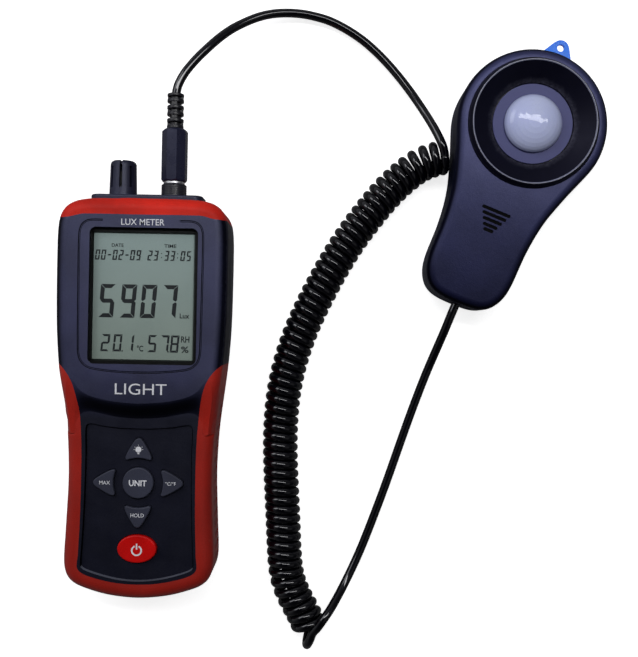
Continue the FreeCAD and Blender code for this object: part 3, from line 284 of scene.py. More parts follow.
def lcd_glass():
    """Grey-green display with painted shade: dimmer at its sides, darker and warmer towards the
    -Y edge.
    """
    centre_x = 0.0011
    half_width = 0.024
    border_x = 0.0213       # from here to +X the glass falls dark ...
    border_width = 0.0008   # ... over this width
    height = 0.075
    graph, surface = principled("lcd_grey_green")
    place = graph.coords()
    slow = graph.noise(place, scale=22.0, detail=3.0, rough=0.5)
    grid = graph.noise(place, scale=3800.0, detail=1.0, rough=0.5)
    axes = graph.split(place)
    # the second operand of ABSOLUTE has no effect
    side = graph.math("ABSOLUTE", graph.math("SUBTRACT", axes["X"], centre_x), 0.0)
    side = graph.math("MULTIPLY", side, 1.0 / half_width)
    shade = graph.ramp(side, (0.0, 1.0), (0.8, 1.0), (0.9, 0.84), (1.0, 0.7))
    colour = graph.ramp(slow, (0.3, (0.37, 0.465, 0.455)), (0.7, (0.40, 0.50, 0.485)))
    colour = graph.speckled(colour, graph.ramp(grid, (0.3, 0.8), (0.7, 1.2)), 0.35)
    colour = graph.multiply(colour, shade)
    border = graph.math("SUBTRACT", axes["X"], border_x)
    border = graph.math("MULTIPLY", border, 1.0 / border_width)
    colour = graph.multiply(colour, graph.ramp(border, (0.0, 1.0), (1.0, 0.1)))
    # painted shade: darker and warmer towards -Y, where less lamp light falls
    rise = graph.math("MULTIPLY", axes["Y"], 1.0 / height)
    minus_y_shade = graph.ramp(rise, (0.2, (0.84, 0.80, 0.74)), (0.9, (1.04, 1.04, 1.06)))
    graph.feed(surface, Base_Color=graph.multiply(colour, minus_y_shade), Specular_IOR_Level=0.2,
               Roughness=graph.ramp(grid, (0.3, 0.5), (0.7, 0.62)))
    graph.bump(surface, grid, strength=0.04, distance=0.0001)


def clear_window():
    """Clear flat window: see-through, with a faint reflection and light scuffs."""
    graph, output = new_material("clear_window")
    clear = graph.node("ShaderNodeBsdfTransparent")
    gloss = graph.node("ShaderNodeBsdfGlossy")
    place = graph.coords()
    scuff = graph.noise(place, scale=260.0, detail=6.0, rough=0.7)
    graph.feed(gloss, Roughness=graph.ramp(scuff, (0.3, 0.05), (0.8, 0.18)))
    drift = graph.noise(place, scale=40.0, detail=2.0, rough=0.5)
    drift = graph.ramp(drift, (0.3, 0.0), (0.7, 1.0))
    graph.feed(clear, Color=graph.mix(drift, (0.965, 0.975, 0.97), (0.985, 0.99, 0.985)))
    fresnel = graph.node("ShaderNodeFresnel")
    graph.feed(fresnel, IOR=1.42)
    graph.bump(gloss, scuff, strength=0.02, distance=0.0001)
    blend = graph.node("ShaderNodeMixShader")
    graph.plug(blend.inputs[0], graph.math("MULTIPLY", fresnel.outputs[0], 0.22))
    graph.plug(blend.inputs[1], clear.outputs[0])
    graph.plug(blend.inputs[2], gloss.outputs[0])
    graph.feed(output, Surface=blend.outputs[0])


def dome_opal():
    """Translucent dome on its darker flat flange; the tone follows the height."""
    dome_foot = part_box("light_diffuser")[1].z - 0.0057
    dome_rise = 0.0058
    graph, surface = principled("opal_diffuser")
    axes = graph.split(graph.coords())
    slow = graph.noise(graph.coords(), scale=70.0, detail=3.0, rough=0.5)
    fine = graph.noise(graph.coords(), scale=2600.0, detail=2.0, rough=0.5)
    high = graph.math("SUBTRACT", axes["Z"], dome_foot)
    high = graph.math("MULTIPLY", high, 1.0 / dome_rise)
    high = graph.ramp(high, (0.0, 0.0), (0.07, 0.0), (0.16, 0.6), (0.5, 0.85), (1.0, 1.0))
    flange = graph.ramp(slow, (0.3, (0.066, 0.070, 0.180)), (0.7, (0.086, 0.090, 0.215)))
    dome = graph.ramp(slow, (0.3, (0.60, 0.66, 1.0)), (0.7, (0.66, 0.72, 1.0)))
    colour = graph.mix(high, flange, dome)
    colour = graph.speckled(colour, graph.ramp(fine, (0.3, 0.85), (0.7, 1.15)), 0.2)
    graph.feed(surface, Base_Color=colour, Subsurface_Weight=0.12,
               Subsurface_Radius=(0.002, 0.002, 0.0025), Subsurface_Scale=0.5,
               Roughness=graph.ramp(slow, (0.2, 0.34), (0.8, 0.44)),
               Specular_IOR_Level=0.35, Specular_Tint=(0.6, 0.62, 1.0),
               Coat_Weight=graph.ramp(high, (0.4, 0.0), (0.8, 0.6)), Coat_Roughness=0.035)
    graph.bump(surface, fine, strength=0.04, distance=0.0002)


def blue_plastic():
    """Translucent blue with a painted glow: a faint emission stands in for light let through."""
    graph, surface = principled("blue_translucent")
    cloud = graph.noise(graph.coords(), scale=300.0, detail=3.0, rough=0.6)
    colour = graph.ramp(cloud, (0.3, (0.003, 0.12, 0.70)), (0.7, (0.006, 0.19, 0.92)))
    # painted glow: a faint emission standing in for light let through the tab
    graph.feed(surface, Base_Color=colour, Emission_Color=(0.0, 0.10, 0.9),
               Emission_Strength=0.12, Specular_Tint=(0.4, 0.6, 1.0), Subsurface_Weight=0.1,
               Subsurface_Radius=(0.001, 0.002, 0.004),
               Roughness=graph.ramp(cloud, (0.3, 0.18), (0.7, 0.32)))
    graph.bump(surface, cloud, strength=0.05, distance=0.0002)


def circuit_board():
    """Green solder mask with copper tracks showing through."""
    graph, surface = principled("circuit_board")
    place = graph.coords()
    cells = graph.node("ShaderNodeTexVoronoi", distance="CHEBYCHEV")
    graph.feed(cells, Scale=420.0, Vector=place)
    tracks = graph.ramp(cells.outputs["Distance"], (0.38, 0.0), (0.42, 1.0), (0.5, 1.0),
                        (0.54, 0.0))
    drift = graph.noise(place, scale=90.0, detail=3.0, rough=0.5)
    mask = graph.ramp(drift, (0.3, (0.006, 0.06, 0.02)), (0.7, (0.012, 0.1, 0.035)))
    share = graph.math("MULTIPLY", tracks, 0.6)
    graph.feed(surface, Base_Color=graph.mix(share, mask, (0.03, 0.22, 0.06)),
               Roughness=graph.ramp(tracks, (0.0, 0.35), (1.0, 0.25)))
    graph.bump(surface, tracks, strength=0.3, distance=0.0001)


def boot_rubber():
    """Dark red rubber with painted light: brighter towards +Y, where the lamp falls, and painted
    shade in the grooves.
    """
    graph, surface = principled("boot_rubber")
    place = graph.coords()
    # painted light: the red brightens towards +Y, where the lamp falls
    along = graph.math("MULTIPLY_ADD", graph.split(place)["Y"], 9.0, 0.62)
    colour = graph.ramp(along, (0.0, (0.36, 0.0125, 0.006)), (0.5, (0.40, 0.0135, 0.006)),
                        (0.72, (0.50, 0.019, 0.010)), (1.0, (0.54, 0.022, 0.012)))
    slow = graph.noise(place, scale=60.0, detail=4.0, rough=0.55)
    fine = graph.noise(place, scale=2400.0, detail=2.0, rough=0.6)
    medium = graph.noise(place, scale=700.0, detail=3.0, rough=0.6)
    colour = graph.multiply(colour, graph.ramp(slow, (0.3, 0.86), (0.7, 1.12)))
    colour = graph.speckled(colour, graph.ramp(fine, (0.3, 0.6), (0.7, 1.4)), 0.3)
    # painted shade in the concave grooves
    crease_shade = graph.ramp(graph.geometry("Pointiness"),
                        (0.0, 1.0), (0.42, 1.0), (0.48, 0.0), (1.0, 0.0))
    colour = graph.mix(graph.math("MULTIPLY", crease_shade, 0.35), colour, (0.09, 0.006, 0.004))
    rim = graph.math("MULTIPLY", graph.edges(low=0.54, high=0.66), 0.22)
    colour = graph.mix(rim, colour, (0.5, 0.09, 0.06))
    uneven = graph.noise(place, scale=150.0, detail=4.0, rough=0.6)
    graph.feed(surface, Base_Color=colour, Sheen_Weight=0.08, Specular_IOR_Level=0.28,
               Roughness=graph.ramp(uneven, (0.25, 0.44), (0.75, 0.6)))
    height = graph.grain_height(fine, medium)
    graph.bump(surface, height, strength=0.1, distance=0.0003)


# ------------------------------------------------------------------ the materials
def make_materials():
    # painted shade: darker towards -Y, on rounded rims and on slopes facing -Y
    moulded("case_plastic", (0.030, 0.032, 0.085), specular=0.74, rough=(0.40, 0.52), bump=0.3,
            wear=0.22, wear_colour=(0.09, 0.095, 0.15), grain=0.45, tint=(0.74, 0.77, 1.0),
            painted_end_shade=(-0.0085, 0.013, (0.0036, 0.0041, 0.0110)), slope=(0.76, 0.99, 0.13),
            shade=(0.06, 0.42, 0.34))
    # painted shade: darker copies of the case and head plastics for their steep sides
    moulded("case_side_shade", (0.006, 0.007, 0.018), specular=0.35, rough=(0.42, 0.54),
            bump=0.22, wear=0.1, tint=(0.7, 0.74, 1.0))
    moulded("head_side_shade", (0.004, 0.005, 0.016), specular=0.35, rough=(0.40, 0.52),
            bump=0.2, wear=0.1, tint=(0.5, 0.55, 1.0))
    moulded("rear_case_plastic", (0.018, 0.020, 0.036), rough=(0.40, 0.52), bump=0.22,
            wear=0.22, wear_colour=(0.09, 0.095, 0.14))
    moulded("groove_shadow", (0.003, 0.003, 0.006), specular=0.1, rough=(0.6, 0.8), wear=0.0)
    # painted highlight: lighter, glossier copy of the case plastic for the +Y-facing edge near
    # the -Y end
    moulded("painted_edge_highlight", (0.085, 0.09, 0.12), specular=0.8, rough=(0.3, 0.4), bump=0.15,
            wear=0.0)
    moulded("bar_shadow", (0.002, 0.002, 0.003), specular=0.1, rough=(0.7, 0.85), wear=0.0)
    # painted highlight: light lip line for the black ring round the dome
    moulded("painted_lip_highlight", (0.15, 0.16, 0.25), specular=0.6, rough=(0.25, 0.35), bump=0.05,
            wear=0.0)
    moulded("end_panel_plastic", (0.012, 0.013, 0.034), specular=0.6, tint=(0.75, 0.78, 1.0),
            rough=(0.35, 0.48), bump=0.14)
    moulded("band_rubber", (0.70, 0.020, 0.010), specular=0.16, wear=0.15,
            wear_colour=(0.8, 0.16, 0.1), sheen=0.03)
    boot_rubber()
    moulded("key_rubber", (0.034, 0.037, 0.062), specular=0.3, rough=(0.48, 0.6), bump=0.14,
            wear=0.2, wear_colour=(0.10, 0.105, 0.14))
    moulded("power_key_rubber", (0.62, 0.002, 0.002), specular=0.2, rough=(0.36, 0.48),
            bump=0.06, wear=0.12, wear_colour=(0.7, 0.08, 0.06))
    moulded("bezel_black", (0.003, 0.003, 0.004), specular=0.2, rough=(0.35, 0.5), bump=0.05)
    moulded("black_moulding", (0.010, 0.010, 0.013), rough=(0.35, 0.5))
    moulded("plug_moulding", (0.014, 0.015, 0.040), specular=0.65, tint=(0.75, 0.78, 1.0),
            rough=(0.22, 0.34), bump=0.06, wear=0.2, wear_colour=(0.06, 0.06, 0.08))
    moulded("relief_rubber", (0.010, 0.010, 0.016), rough=(0.3, 0.42), bump=0.08)
    # painted shade: darker towards the handle at -Y and on rounded rims
    moulded("head_plastic", (0.033, 0.036, 0.106), specular=0.75, rough=(0.36, 0.46), bump=0.26,
            wear=0.18, wear_colour=(0.12, 0.12, 0.24), grain=0.45, tint=(0.54, 0.57, 1.0),
            painted_end_shade=(0.045, 0.110, (0.0075, 0.0085, 0.033)), slope=(0.68, 0.985, 0.13))
    moulded("head_base_plastic", (0.008, 0.009, 0.032), rough=(0.38, 0.5), bump=0.2,
            tint=(0.6, 0.65, 1.0))
    moulded("ring_black", (0.0022, 0.0022, 0.008), specular=0.2, tint=(0.7, 0.7, 1.0),
            rough=(0.42, 0.55), bump=0.08, wear=0.6, wear_colour=(0.16, 0.16, 0.22))
    moulded("cord_jacket", (0.0008, 0.0008, 0.0022), specular=0.12, rough=(0.2, 0.3), bump=0.02,
            wear=0.0, coat=0.55, coat_rough=0.05, coat_ior=1.75, tint=(0.8, 0.8, 1.0))
    metal("nickel_plate", (0.92, 0.92, 0.95), rough=(0.3, 0.5))
    moulded("socket_collar", (0.015, 0.015, 0.024), specular=0.6, rough=(0.25, 0.38), bump=0.08,
            wear=0.4, wear_colour=(0.2, 0.2, 0.25))
    metal("zinc_steel", (0.5, 0.5, 0.52), rough=(0.25, 0.42))
    metal("spring_steel", (0.62, 0.6, 0.52), rough=(0.2, 0.35))
    lcd_glass()
    clear_window()
    opal("light_guide", (0.72, 0.76, 0.74), (0.8, 0.84, 0.82), rough=0.32, subsurface=0.25)
    dome_opal()
    blue_plastic()
    circuit_board()
    moulded("contact_rubber", (0.5, 0.36, 0.36), rough=(0.5, 0.65))
    # painted shade: the keypad mat is near-black so the gaps round the keys read dark
    moulded("keypad_mat_shade", (0.008, 0.009, 0.011), rough=(0.5, 0.62))
    moulded("battery_wrap", (0.03, 0.035, 0.05), rough=(0.25, 0.4), bump=0.03, wear=0.3,
            wear_colour=(0.3, 0.3, 0.32))
    moulded("wire_sleeve", (0.3, 0.01, 0.01), rough=(0.3, 0.42), bump=0.05)
    moulded("blank_plate", (0.5, 0.51, 0.53), rough=(0.3, 0.45), bump=0.04, wear=0.1)
    moulded("foam_pad", (0.03, 0.03, 0.03), rough=(0.8, 0.95), bump=0.8, spark=900.0)
    opal("green_filter_glass", (0.05, 0.35, 0.12), (0.08, 0.42, 0.16), rough=0.1, subsurface=0.0)
    moulded("sensor_chip", (0.01, 0.01, 0.02), rough=(0.1, 0.2), bump=0.02)
    moulded("white_print", (0.86, 0.87, 0.92), light=1.08, dark=0.92, rough=(0.4, 0.55),
            bump=0.05, wear=0.0, grain=0.15)
    moulded("lcd_segment", (0.006, 0.009, 0.014), light=1.2, dark=0.85, rough=(0.4, 0.55),
            bump=0.02, wear=0.0, grain=0.15)


# material: the pieces that wear it
WORN_BY = {
    "case_plastic": "front_case",
    "rear_case_plastic": "rear_case battery_door",
    "boot_rubber": "lower_rubber_boot",
    "band_rubber": "top_rubber_band",
    "clear_window": "display_lens",
    "bezel_black": "display_bezel",
    "lcd_grey_green": "display_glass",
    "light_guide": "display_backlight",
    "contact_rubber": "display_contact_strips",
    "circuit_board": "main_board sensor_board",
    "zinc_steel": "board_screws battery_door_screw case_screws clamp_screws head_screws",
    "black_moulding": "board_components buzzer air_sensor_board socket_body battery_clip "
                      "plug_insulators filter_holder cord_clamp",
    "keypad_mat_shade": "keypad_mat",
    "spring_steel": "snap_domes socket_contacts",
    "key_rubber": "backlight_key max_key hold_key temperature_unit_key unit_key",
    "power_key_rubber": "power_key",
    "end_panel_plastic": "top_panel air_sensor_cage",
    "socket_collar": "socket_bushing",
    "battery_wrap": "battery",
    "wire_sleeve": "battery_clip_wires",
    "foam_pad": "battery_door_pad",
    "blank_plate": "rating_label",
    "plug_moulding": "plug_barrel",
    "nickel_plate": "plug_pin",
    "relief_rubber": "strain_relief",
    "cord_jacket": "coiled_cord upper_lead lower_lead",
    "head_plastic": "head_upper_shell",
    "head_base_plastic": "head_lower_shell",
    "ring_black": "baffle_ring",
    "opal_diffuser": "light_diffuser",
    "green_filter_glass": "green_filter",
    "sensor_chip": "photodiode",
    "blue_translucent": "hanging_tab",
}


def dress_pieces():
    material_of = {piece: name for name, worn_by in WORN_BY.items() for piece in worn_by.split()}
    for piece, ob in pieces.items():
        ob.data.materials.clear()
        ob.data.materials.append(MATERIALS[material_of[piece]])


# ------------------------------------------------------------------ second materials
def in_head(point):
    """Row frame to the sensor head's own frame."""
    x, y = point.x - HEAD_X, point.y - HEAD_Y
    return x * HEAD_COS + y * HEAD_SIN, -x * HEAD_SIN + y * HEAD_COS


def is_case_side(point, normal):
    return normal.z < 0.5 and abs(point.x) > 29.5 and abs(normal.x) > 0.5


def is_head_side(point, normal):
    return normal.z < 0.42


def is_bar(point, normal):
    """Short bar across the -Y end of the head, just under its gently rising top."""
    x, y = in_head(point)
    top = 23.25 + (y + 46.0) * 0.06
    in_plan = abs(x) < 7.3 and -50.8 < y < -39.9
    return in_plan and top - 1.1 < point.z < top - 0.12 and normal.z > -0.5


def is_case_edge(point, normal):
    """Upper edge that faces +Y near the -Y end of the case."""
    in_plan = abs(point.x) < 23.5 and -78.0 < point.y < -66.0
    return in_plan and 28.85 < point.z < 30.3 and normal.y > 0.25 and normal.z > 0.05


def is_lip(point, normal):
    """Narrow top lip of the ring round the dome."""
    return 25.85 < math.hypot(*in_head(point)) < 26.6 and point.z > 27.1 and normal.z > 0.3


def paint(piece, material, test):
    """Gives the faces that pass the test (row frame, millimetres) a further material."""
    ob = pieces[piece]
    ob.data.materials.append(MATERIALS[material])
    slot = len(ob.data.materials) - 1
    world = ob.matrix_world
    turn = world.to_3x3()
    for face in ob.data.polygons:
        if test(world @ face.center * 1000.0, (turn @ face.normal).normalized()):
            face.material_index = slot


# ------------------------------------------------------------------ boot taper
def taper_boot_sides():
    """Draws the upper edge of the boot's side walls inwards towards the step at y = -15 mm."""
    group = bpy.data.node_groups.new("boot_side_taper", "GeometryNodeTree")
    for direction in ("INPUT", "OUTPUT"):
        group.interface.new_socket(name="Geometry", in_out=direction,
                                   socket_type="NodeSocketGeometry")
    graph = Graph(group)
    entry = graph.node("NodeGroupInput")
    leave = graph.node("NodeGroupOutput")
    shift = graph.node("GeometryNodeSetPosition")
    axes = graph.split(graph.node("GeometryNodeInputPosition").outputs[0])
    offset = graph.node("ShaderNodeCombineXYZ")

    def span(source, low, high, start, end, kind="LINEAR"):
        node = graph.node("ShaderNodeMapRange", interpolation_type=kind, clamp=True)
        graph.feed(node, Value=source, From_Min=low, From_Max=high, To_Min=start, To_Max=end)
        return node.outputs["Result"]

    wall = span(graph.math("ABSOLUTE", axes["X"]), low=0.0265, high=0.0295, start=0.0, end=1.0)
    inset = span(axes["Z"], low=0.026, high=0.0304, start=0.0, end=0.0024)
    along = span(axes["Y"], low=-0.0148, high=0.014, start=1.0, end=0.0, kind="SMOOTHSTEP")
    beyond = graph.math("GREATER_THAN", axes["Y"], -0.0151)
    move = graph.math("MULTIPLY", graph.math("MULTIPLY", wall, inset),
                      graph.math("MULTIPLY", along, beyond))
    move = graph.math("MULTIPLY", move, graph.math("SIGN", axes["X"]))
    graph.plug(offset.inputs[0], graph.math("MULTIPLY", move, -1.0))
    graph.feed(shift, Offset=offset.outputs[0], Geometry=entry.outputs[0])
    graph.plug(leave.inputs[0], shift.outputs[0])
    pieces["lower_rubber_boot"].modifiers.new("side_taper", "NODES").node_group = group


# ------------------------------------------------------------------ mesh helpers
def mesh_object(name, verts, faces, material, smooth=True):
    mesh = bpy.data.meshes.new(name)
    mesh.from_pydata(verts, [], faces)
    mesh.validate()
    mesh.update()
    for face in mesh.polygons:
        face.use_smooth = smooth
    mesh.materials.append(MATERIALS[material])
    return add_object(name, mesh)


def add_object(name, data):
    ob = bpy.data.objects.new(name, data)
    bpy.context.scene.collection.objects.link(ob)
    return ob


def fix_to(ob, piece):
    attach(ob, piece)


def tube(name, path, radii, around):
    """Closed round cord jacket swept along points with rotation-minimising rings."""
    count = len(path)
    tangents = [(path[min(count - 1, i + 1)] - path[max(0, i - 1)]).normalized()
                for i in range(count)]
    across = Vector((0, 0, 1)) if abs(tangents[0].z) < 0.9 else Vector((1, 0, 0))
    verts, faces = [], []
    for point, tangent, radius in zip(path, tangents, radii):
        across = (across - tangent * across.dot(tangent)).normalized()
        other = tangent.cross(across)
        for k in range(around):
            turn = 2 * math.pi * k / around
            verts.append(point + across * (radius * math.cos(turn))
                         + other * (radius * math.sin(turn)))

    def ring(i):
        return [(i * around + k, i * around + (k + 1) % around) for k in range(around)]

    for i in range(count - 1):
        faces += [(a, b, b + around, a + around) for a, b in ring(i)]
    for i in (0, count - 1):
        centre = len(verts)
        verts.append(path[i].copy())
        faces += [(a, b, centre) if i else (b, a, centre) for a, b in ring(i)]
    return mesh_object(name, verts, faces, "cord_jacket")


def spline(points, step):
    """Centripetal Catmull-Rom curve through 3-D points, resampled at an even step."""
    samples = 16
    dense = []
    for i in range(len(points) - 1):
        p1, p2 = points[i], points[i + 1]
        p0 = points[i - 1] if i else p1 * 2 - p2
        p3 = points[i + 2] if i + 2 < len(points) else p2 * 2 - p1
        t0 = 0.0
        t1 = t0 + max(1e-6, (p1 - p0).length) ** 0.5
        t2 = t1 + max(1e-6, (p2 - p1).length) ** 0.5
        t3 = t2 + max(1e-6, (p3 - p2).length) ** 0.5
        for k in range(samples):
            t = t1 + (t2 - t1) * k / samples
            a1 = p0.lerp(p1, (t - t0) / (t1 - t0))
            a2 = p1.lerp(p2, (t - t1) / (t2 - t1))
            a3 = p2.lerp(p3, (t - t2) / (t3 - t2))
            b1 = a1.lerp(a2, (t - t0) / (t2 - t0))
            b2 = a2.lerp(a3, (t - t1) / (t3 - t1))
            dense.append(b1.lerp(b2, (t - t1) / (t2 - t1)))
    dense.append(points[-1].copy())
    lengths = [0.0]
    for before, after in zip(dense, dense[1:]):
        lengths.append(lengths[-1] + (after - before).length)
    count = max(2, int(round(lengths[-1] / step)))
    even, j = [], 0
    for i in range(count + 1):
        goal = lengths[-1] * i / count
        while j < len(lengths) - 2 and lengths[j + 1] < goal:
            j += 1
        share = (goal - lengths[j]) / max(1e-12, lengths[j + 1] - lengths[j])
        even.append(dense[j].lerp(dense[j + 1], share))
    return even


def flat_plates(name, outlines, bottom, top, material):
    """Thin closed plates between two heights, one per outline (millimetres)."""
    verts, faces = [], []
    for outline in outlines:
        area = sum(p[0] * q[1] - q[0] * p[1] for p, q in zip(outline, outline[1:] + outline[:1]))
        if area < 0:
            outline = outline[::-1]
        base, count = len(verts), len(outline)
        for z in (bottom, top):
            verts += [Vector((x * MM, y * MM, z * MM)) for x, y in outline]
        faces.append(tuple(base + i for i in reversed(range(count))))
        faces.append(tuple(base + count + i for i in range(count)))
        for i in range(count):
            j = (i + 1) % count
            faces.append((base + i, base + j, base + count + j, base + count + i))
    return mesh_object(name, verts, faces, material, smooth=False)


def raised_text(name, body, centre, bottom, height, width, bold, material, depth=0.04):
    """Text as a thin closed mesh, stretched to a size and centred (millimetres)."""
    curve = bpy.data.curves.new(name + "_c", "FONT")
    curve.body = body
    curve.size = 1.0
    curve.extrude = 0.5
    curve.offset = bold
    curve.resolution_u = 4
    draft = add_object(name + "_t", curve)
    bpy.context.view_layer.update()
    evaluated = draft.evaluated_get(bpy.context.evaluated_depsgraph_get())
    mesh = bpy.data.meshes.new_from_object(evaluated)
    bpy.data.objects.remove(draft)
    xs = [v.co.x for v in mesh.vertices]
    ys = [v.co.y for v in mesh.vertices]
    scale_x = width / (max(xs) - min(xs))
    scale_y = height / (max(ys) - min(ys))
    middle_x, middle_y = (max(xs) + min(xs)) / 2, (max(ys) + min(ys)) / 2
    for v in mesh.vertices:
        v.co = Vector(((centre[0] + (v.co.x - middle_x) * scale_x) * MM,
                       (centre[1] + (v.co.y - middle_y) * scale_y) * MM,
                       (bottom + (v.co.z + 0.5) * depth) * MM))
    mesh.name = name
    mesh.materials.clear()
    mesh.materials.append(MATERIALS[material])
    for face in mesh.polygons:
        face.use_smooth = False
    return add_object(name, mesh)


def top_of(piece):
    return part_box(piece)[1].z / MM


# ------------------------------------------------------------------ frame groove
# -X half of the groove round the display, from its +Y end: x, y
GROOVE_HALF = [
    (-16.2, 74.7), (-20.2, 74.7), (-22.6, 74.3), (-24.4, 73.0), (-25.5, 70.6), (-25.8, 66.0),
    (-25.7, 45.0), (-25.5, 24.0), (-25.2, 18.6), (-24.0, 15.6), (-21.3, 13.4), (-16.0, 12.3),
    (-8.0, 11.6),
]
GROOVE = GROOVE_HALF + [(0.0, 11.4)] + [(-x, y) for x, y in reversed(GROOVE_HALF)]
GROOVE_DEPTH = 0.4
LINE_NEAR, LINE_FAR = 0.12, 0.45    # edges of each line, off the groove's middle


def groove_lines():
    """Two dark lines along the edges of the groove floor: painted shadow plates."""
    run = spline([Vector((x, y, 0.0)) for x, y in GROOVE], 0.4)
    last = len(run) - 1

    def beside(i, j, tangent_from, tangent_to):
        point = run[i]
        tangent = (run[tangent_to] - run[tangent_from]).normalized()
        return point.x - tangent.y * j, point.y + tangent.x * j

    outlines = []
    for i in range(last):
        here = (max(0, i - 1), i + 1)
        ahead = (i, min(last, i + 2))
        for inner, outer in ((-LINE_FAR, -LINE_NEAR), (LINE_NEAR, LINE_FAR)):
            outlines.append([beside(i, inner, *here), beside(i, outer, *here),
                             beside(i + 1, outer, *ahead), beside(i + 1, inner, *ahead)])
    floor_z = top_of("front_case") - GROOVE_DEPTH
    lines = flat_plates("groove_edge_lines", outlines, floor_z + 0.004, floor_z + 0.03,
                        "groove_shadow")
    fix_to(lines, "meter")


# ------------------------------------------------------------------ display
# lit bars of each figure: a top, b and c right, d foot, e and f left, g middle
SEGMENTS = {"0": "abcdef", "1": "bc", "2": "abged", "3": "abgcd", "4": "fgbc", "5": "afgcd",
            "6": "afgedc", "7": "abc", "8": "abcdefg", "9": "abcdfg", "-": "g"}
# figures, left edges, foot y, (width, height, bar thickness, slant, gap between bars)
CLOCK_ROWS = [
    ("00-02-09", (-20.1, -17.6, -15.1, -12.75, -10.25, -7.75, -5.4, -2.9), 58.35,
     (1.9, 4.3, 0.6, 0.13, 0.04)),
    ("233305", (1.95, 4.45, 8.95, 11.45, 15.75, 18.25), 58.4, (1.85, 4.2, 0.6, 0.13, 0.04)),
]
READING_ROWS = [
    ("5907", (-18.2, -9.25, -0.75, 8.0), 34.2, (6.25, 14.0, 1.72, 0.075, 0.13)),
    ("201", (-17.0, -11.9, -6.9), 19.95, (3.5, 7.2, 0.86, 0.09, 0.06)),
    ("578", (2.7, 7.9, 12.1), 19.9, (3.5, 7.2, 0.86, 0.09, 0.06)),
]
COLON_X, COLON_Y = (7.75, 14.5), (59.5, 61.2)
POINT_X, POINT_Y = (-8.1, 11.2), 19.9
# name, text, centre, height, width
DISPLAY_LABELS = [
    ("label_date", "DATE", (-10.5, 64.6), 1.45, 5.0),
    ("label_time", "TIME", (11.6, 64.6), 1.45, 5.1),
    ("label_lux", "Lux", (18.1, 35.35), 2.1, 4.0),
    ("label_c", "°C", (-0.3, 21.4), 2.6, 2.6),
    ("label_rh", "RH", (18.6, 25.5), 2.6, 3.5),
    ("label_percent", "%", (18.5, 21.2), 2.7, 3.2),
]


def figure(sign, left, foot, width, height, bar, slant, gap):
    """Outlines of one seven-segment figure with mitred bars, from its lower left corner."""
    middle = height / 2
    notch = bar * 0.35              # the side bars end in a blunt point at mid-height
    outside = bar * 0.3 + gap
    inside = bar * 0.42 + gap
    tip = gap + bar * 0.15          # the middle bar is pointed at both ends
    shoulder = bar * 0.75 + gap
    right = width - bar
    outlines = {
        "a": [(gap, height), (width - gap, height), (right - gap, height - bar),
              (bar + gap, height - bar)],
        "d": [(gap, 0), (bar + gap, bar), (right - gap, bar), (width - gap, 0)],
        "g": [(tip, middle), (shoulder, middle + bar / 2), (width - shoulder, middle + bar / 2),
              (width - tip, middle), (width - shoulder, middle - bar / 2),
              (shoulder, middle - bar / 2)],
        "f": [(0, height - gap), (bar, height - bar - gap), (bar, middle + inside),
              (notch, middle + gap), (0, middle + outside)],
        "b": [(width, height - gap), (width, middle + outside), (width - notch, middle + gap),
              (right, middle + inside), (right, height - bar - gap)],
        "e": [(0, gap), (0, middle - outside), (notch, middle - gap), (bar, middle - inside),
              (bar, bar + gap)],
        "c": [(width, gap), (right, bar + gap), (right, middle - inside),
              (width - notch, middle - gap), (width, middle - outside)],
    }
    return [[(left + x + y * slant, foot + y) for x, y in outlines[letter]]
            for letter in SEGMENTS[sign]]


def figure_rows(rows):
    return [outline for signs, lefts, foot, style in rows
            for sign, left in zip(signs, lefts)
            for outline in figure(sign, left, foot, *style)]


def dot(x, y, width, height, lean):
    return [(x, y), (x + width, y), (x + width + lean, y + height), (x + lean, y + height)]


def display_print():
    glass_top = top_of("display_glass")
    outlines = figure_rows(CLOCK_ROWS)
    outlines += [dot(x, y, width=0.42, height=0.42, lean=0.03) for x in COLON_X for y in COLON_Y]
    outlines += figure_rows(READING_ROWS)
    outlines += [dot(x, POINT_Y, width=0.55, height=0.6, lean=0.05) for x in POINT_X]
    figures = flat_plates("display_figures", outlines, glass_top + LCD_GAP, glass_top + 0.05,
                          "lcd_segment")
    fix_to(figures, "meter")
    for name, body, centre, height, width in DISPLAY_LABELS:
        label = raised_text(name, body, centre, glass_top + LCD_GAP, height, width, bold=0.02,
                            material="lcd_segment")
        fix_to(label, "meter")


# ------------------------------------------------------------------ printed legends
# name, text, centre, height, width, boldness
CASE_LEGENDS = [
    ("legend_top", "LUX METER", (0.6, 74.05), 2.6, 18.0, 0.005),
    ("legend_lower", "LIGHT", (1.0, 4.5), 4.6, 21.5, -0.002),
]
# key, text, offset from the key's centre, height, width, boldness
KEY_LEGENDS = [
    ("unit_key", "UNIT", (0.0, 0.0), 2.5, 7.4, 0.022),
    ("max_key", "MAX", (0.35, 0.0), 1.5, 4.5, 0.003),
    ("hold_key", "HOLD", (0.0, 0.75), 1.55, 5.6, 0.003),
    ("temperature_unit_key", "°C/°F", (-0.5, 0.0), 1.5, 4.4, 0.005),
]


def text_legends():
    hood_top = top_of("front_case")
    for name, body, centre, height, width, bold in CASE_LEGENDS:
        legend = raised_text(name, body, centre, hood_top + HOOD_PRINT_GAP, height, width, bold,
                             "white_print", depth=0.05)
        fix_to(legend, "meter")
    for key, body, (shift_x, shift_y), height, width, bold in KEY_LEGENDS:
        x, y, top = key_centre(key)
        legend = raised_text("legend_" + key, body, (x + shift_x, y + shift_y), top + PRINT_GAP,
                             height, width, bold, "white_print")
        fix_to(legend, key)


def key_centre(key):
    low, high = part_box(key)
    return (low.x + high.x) / 2 / MM, (low.y + high.y) / 2 / MM, high.z / MM


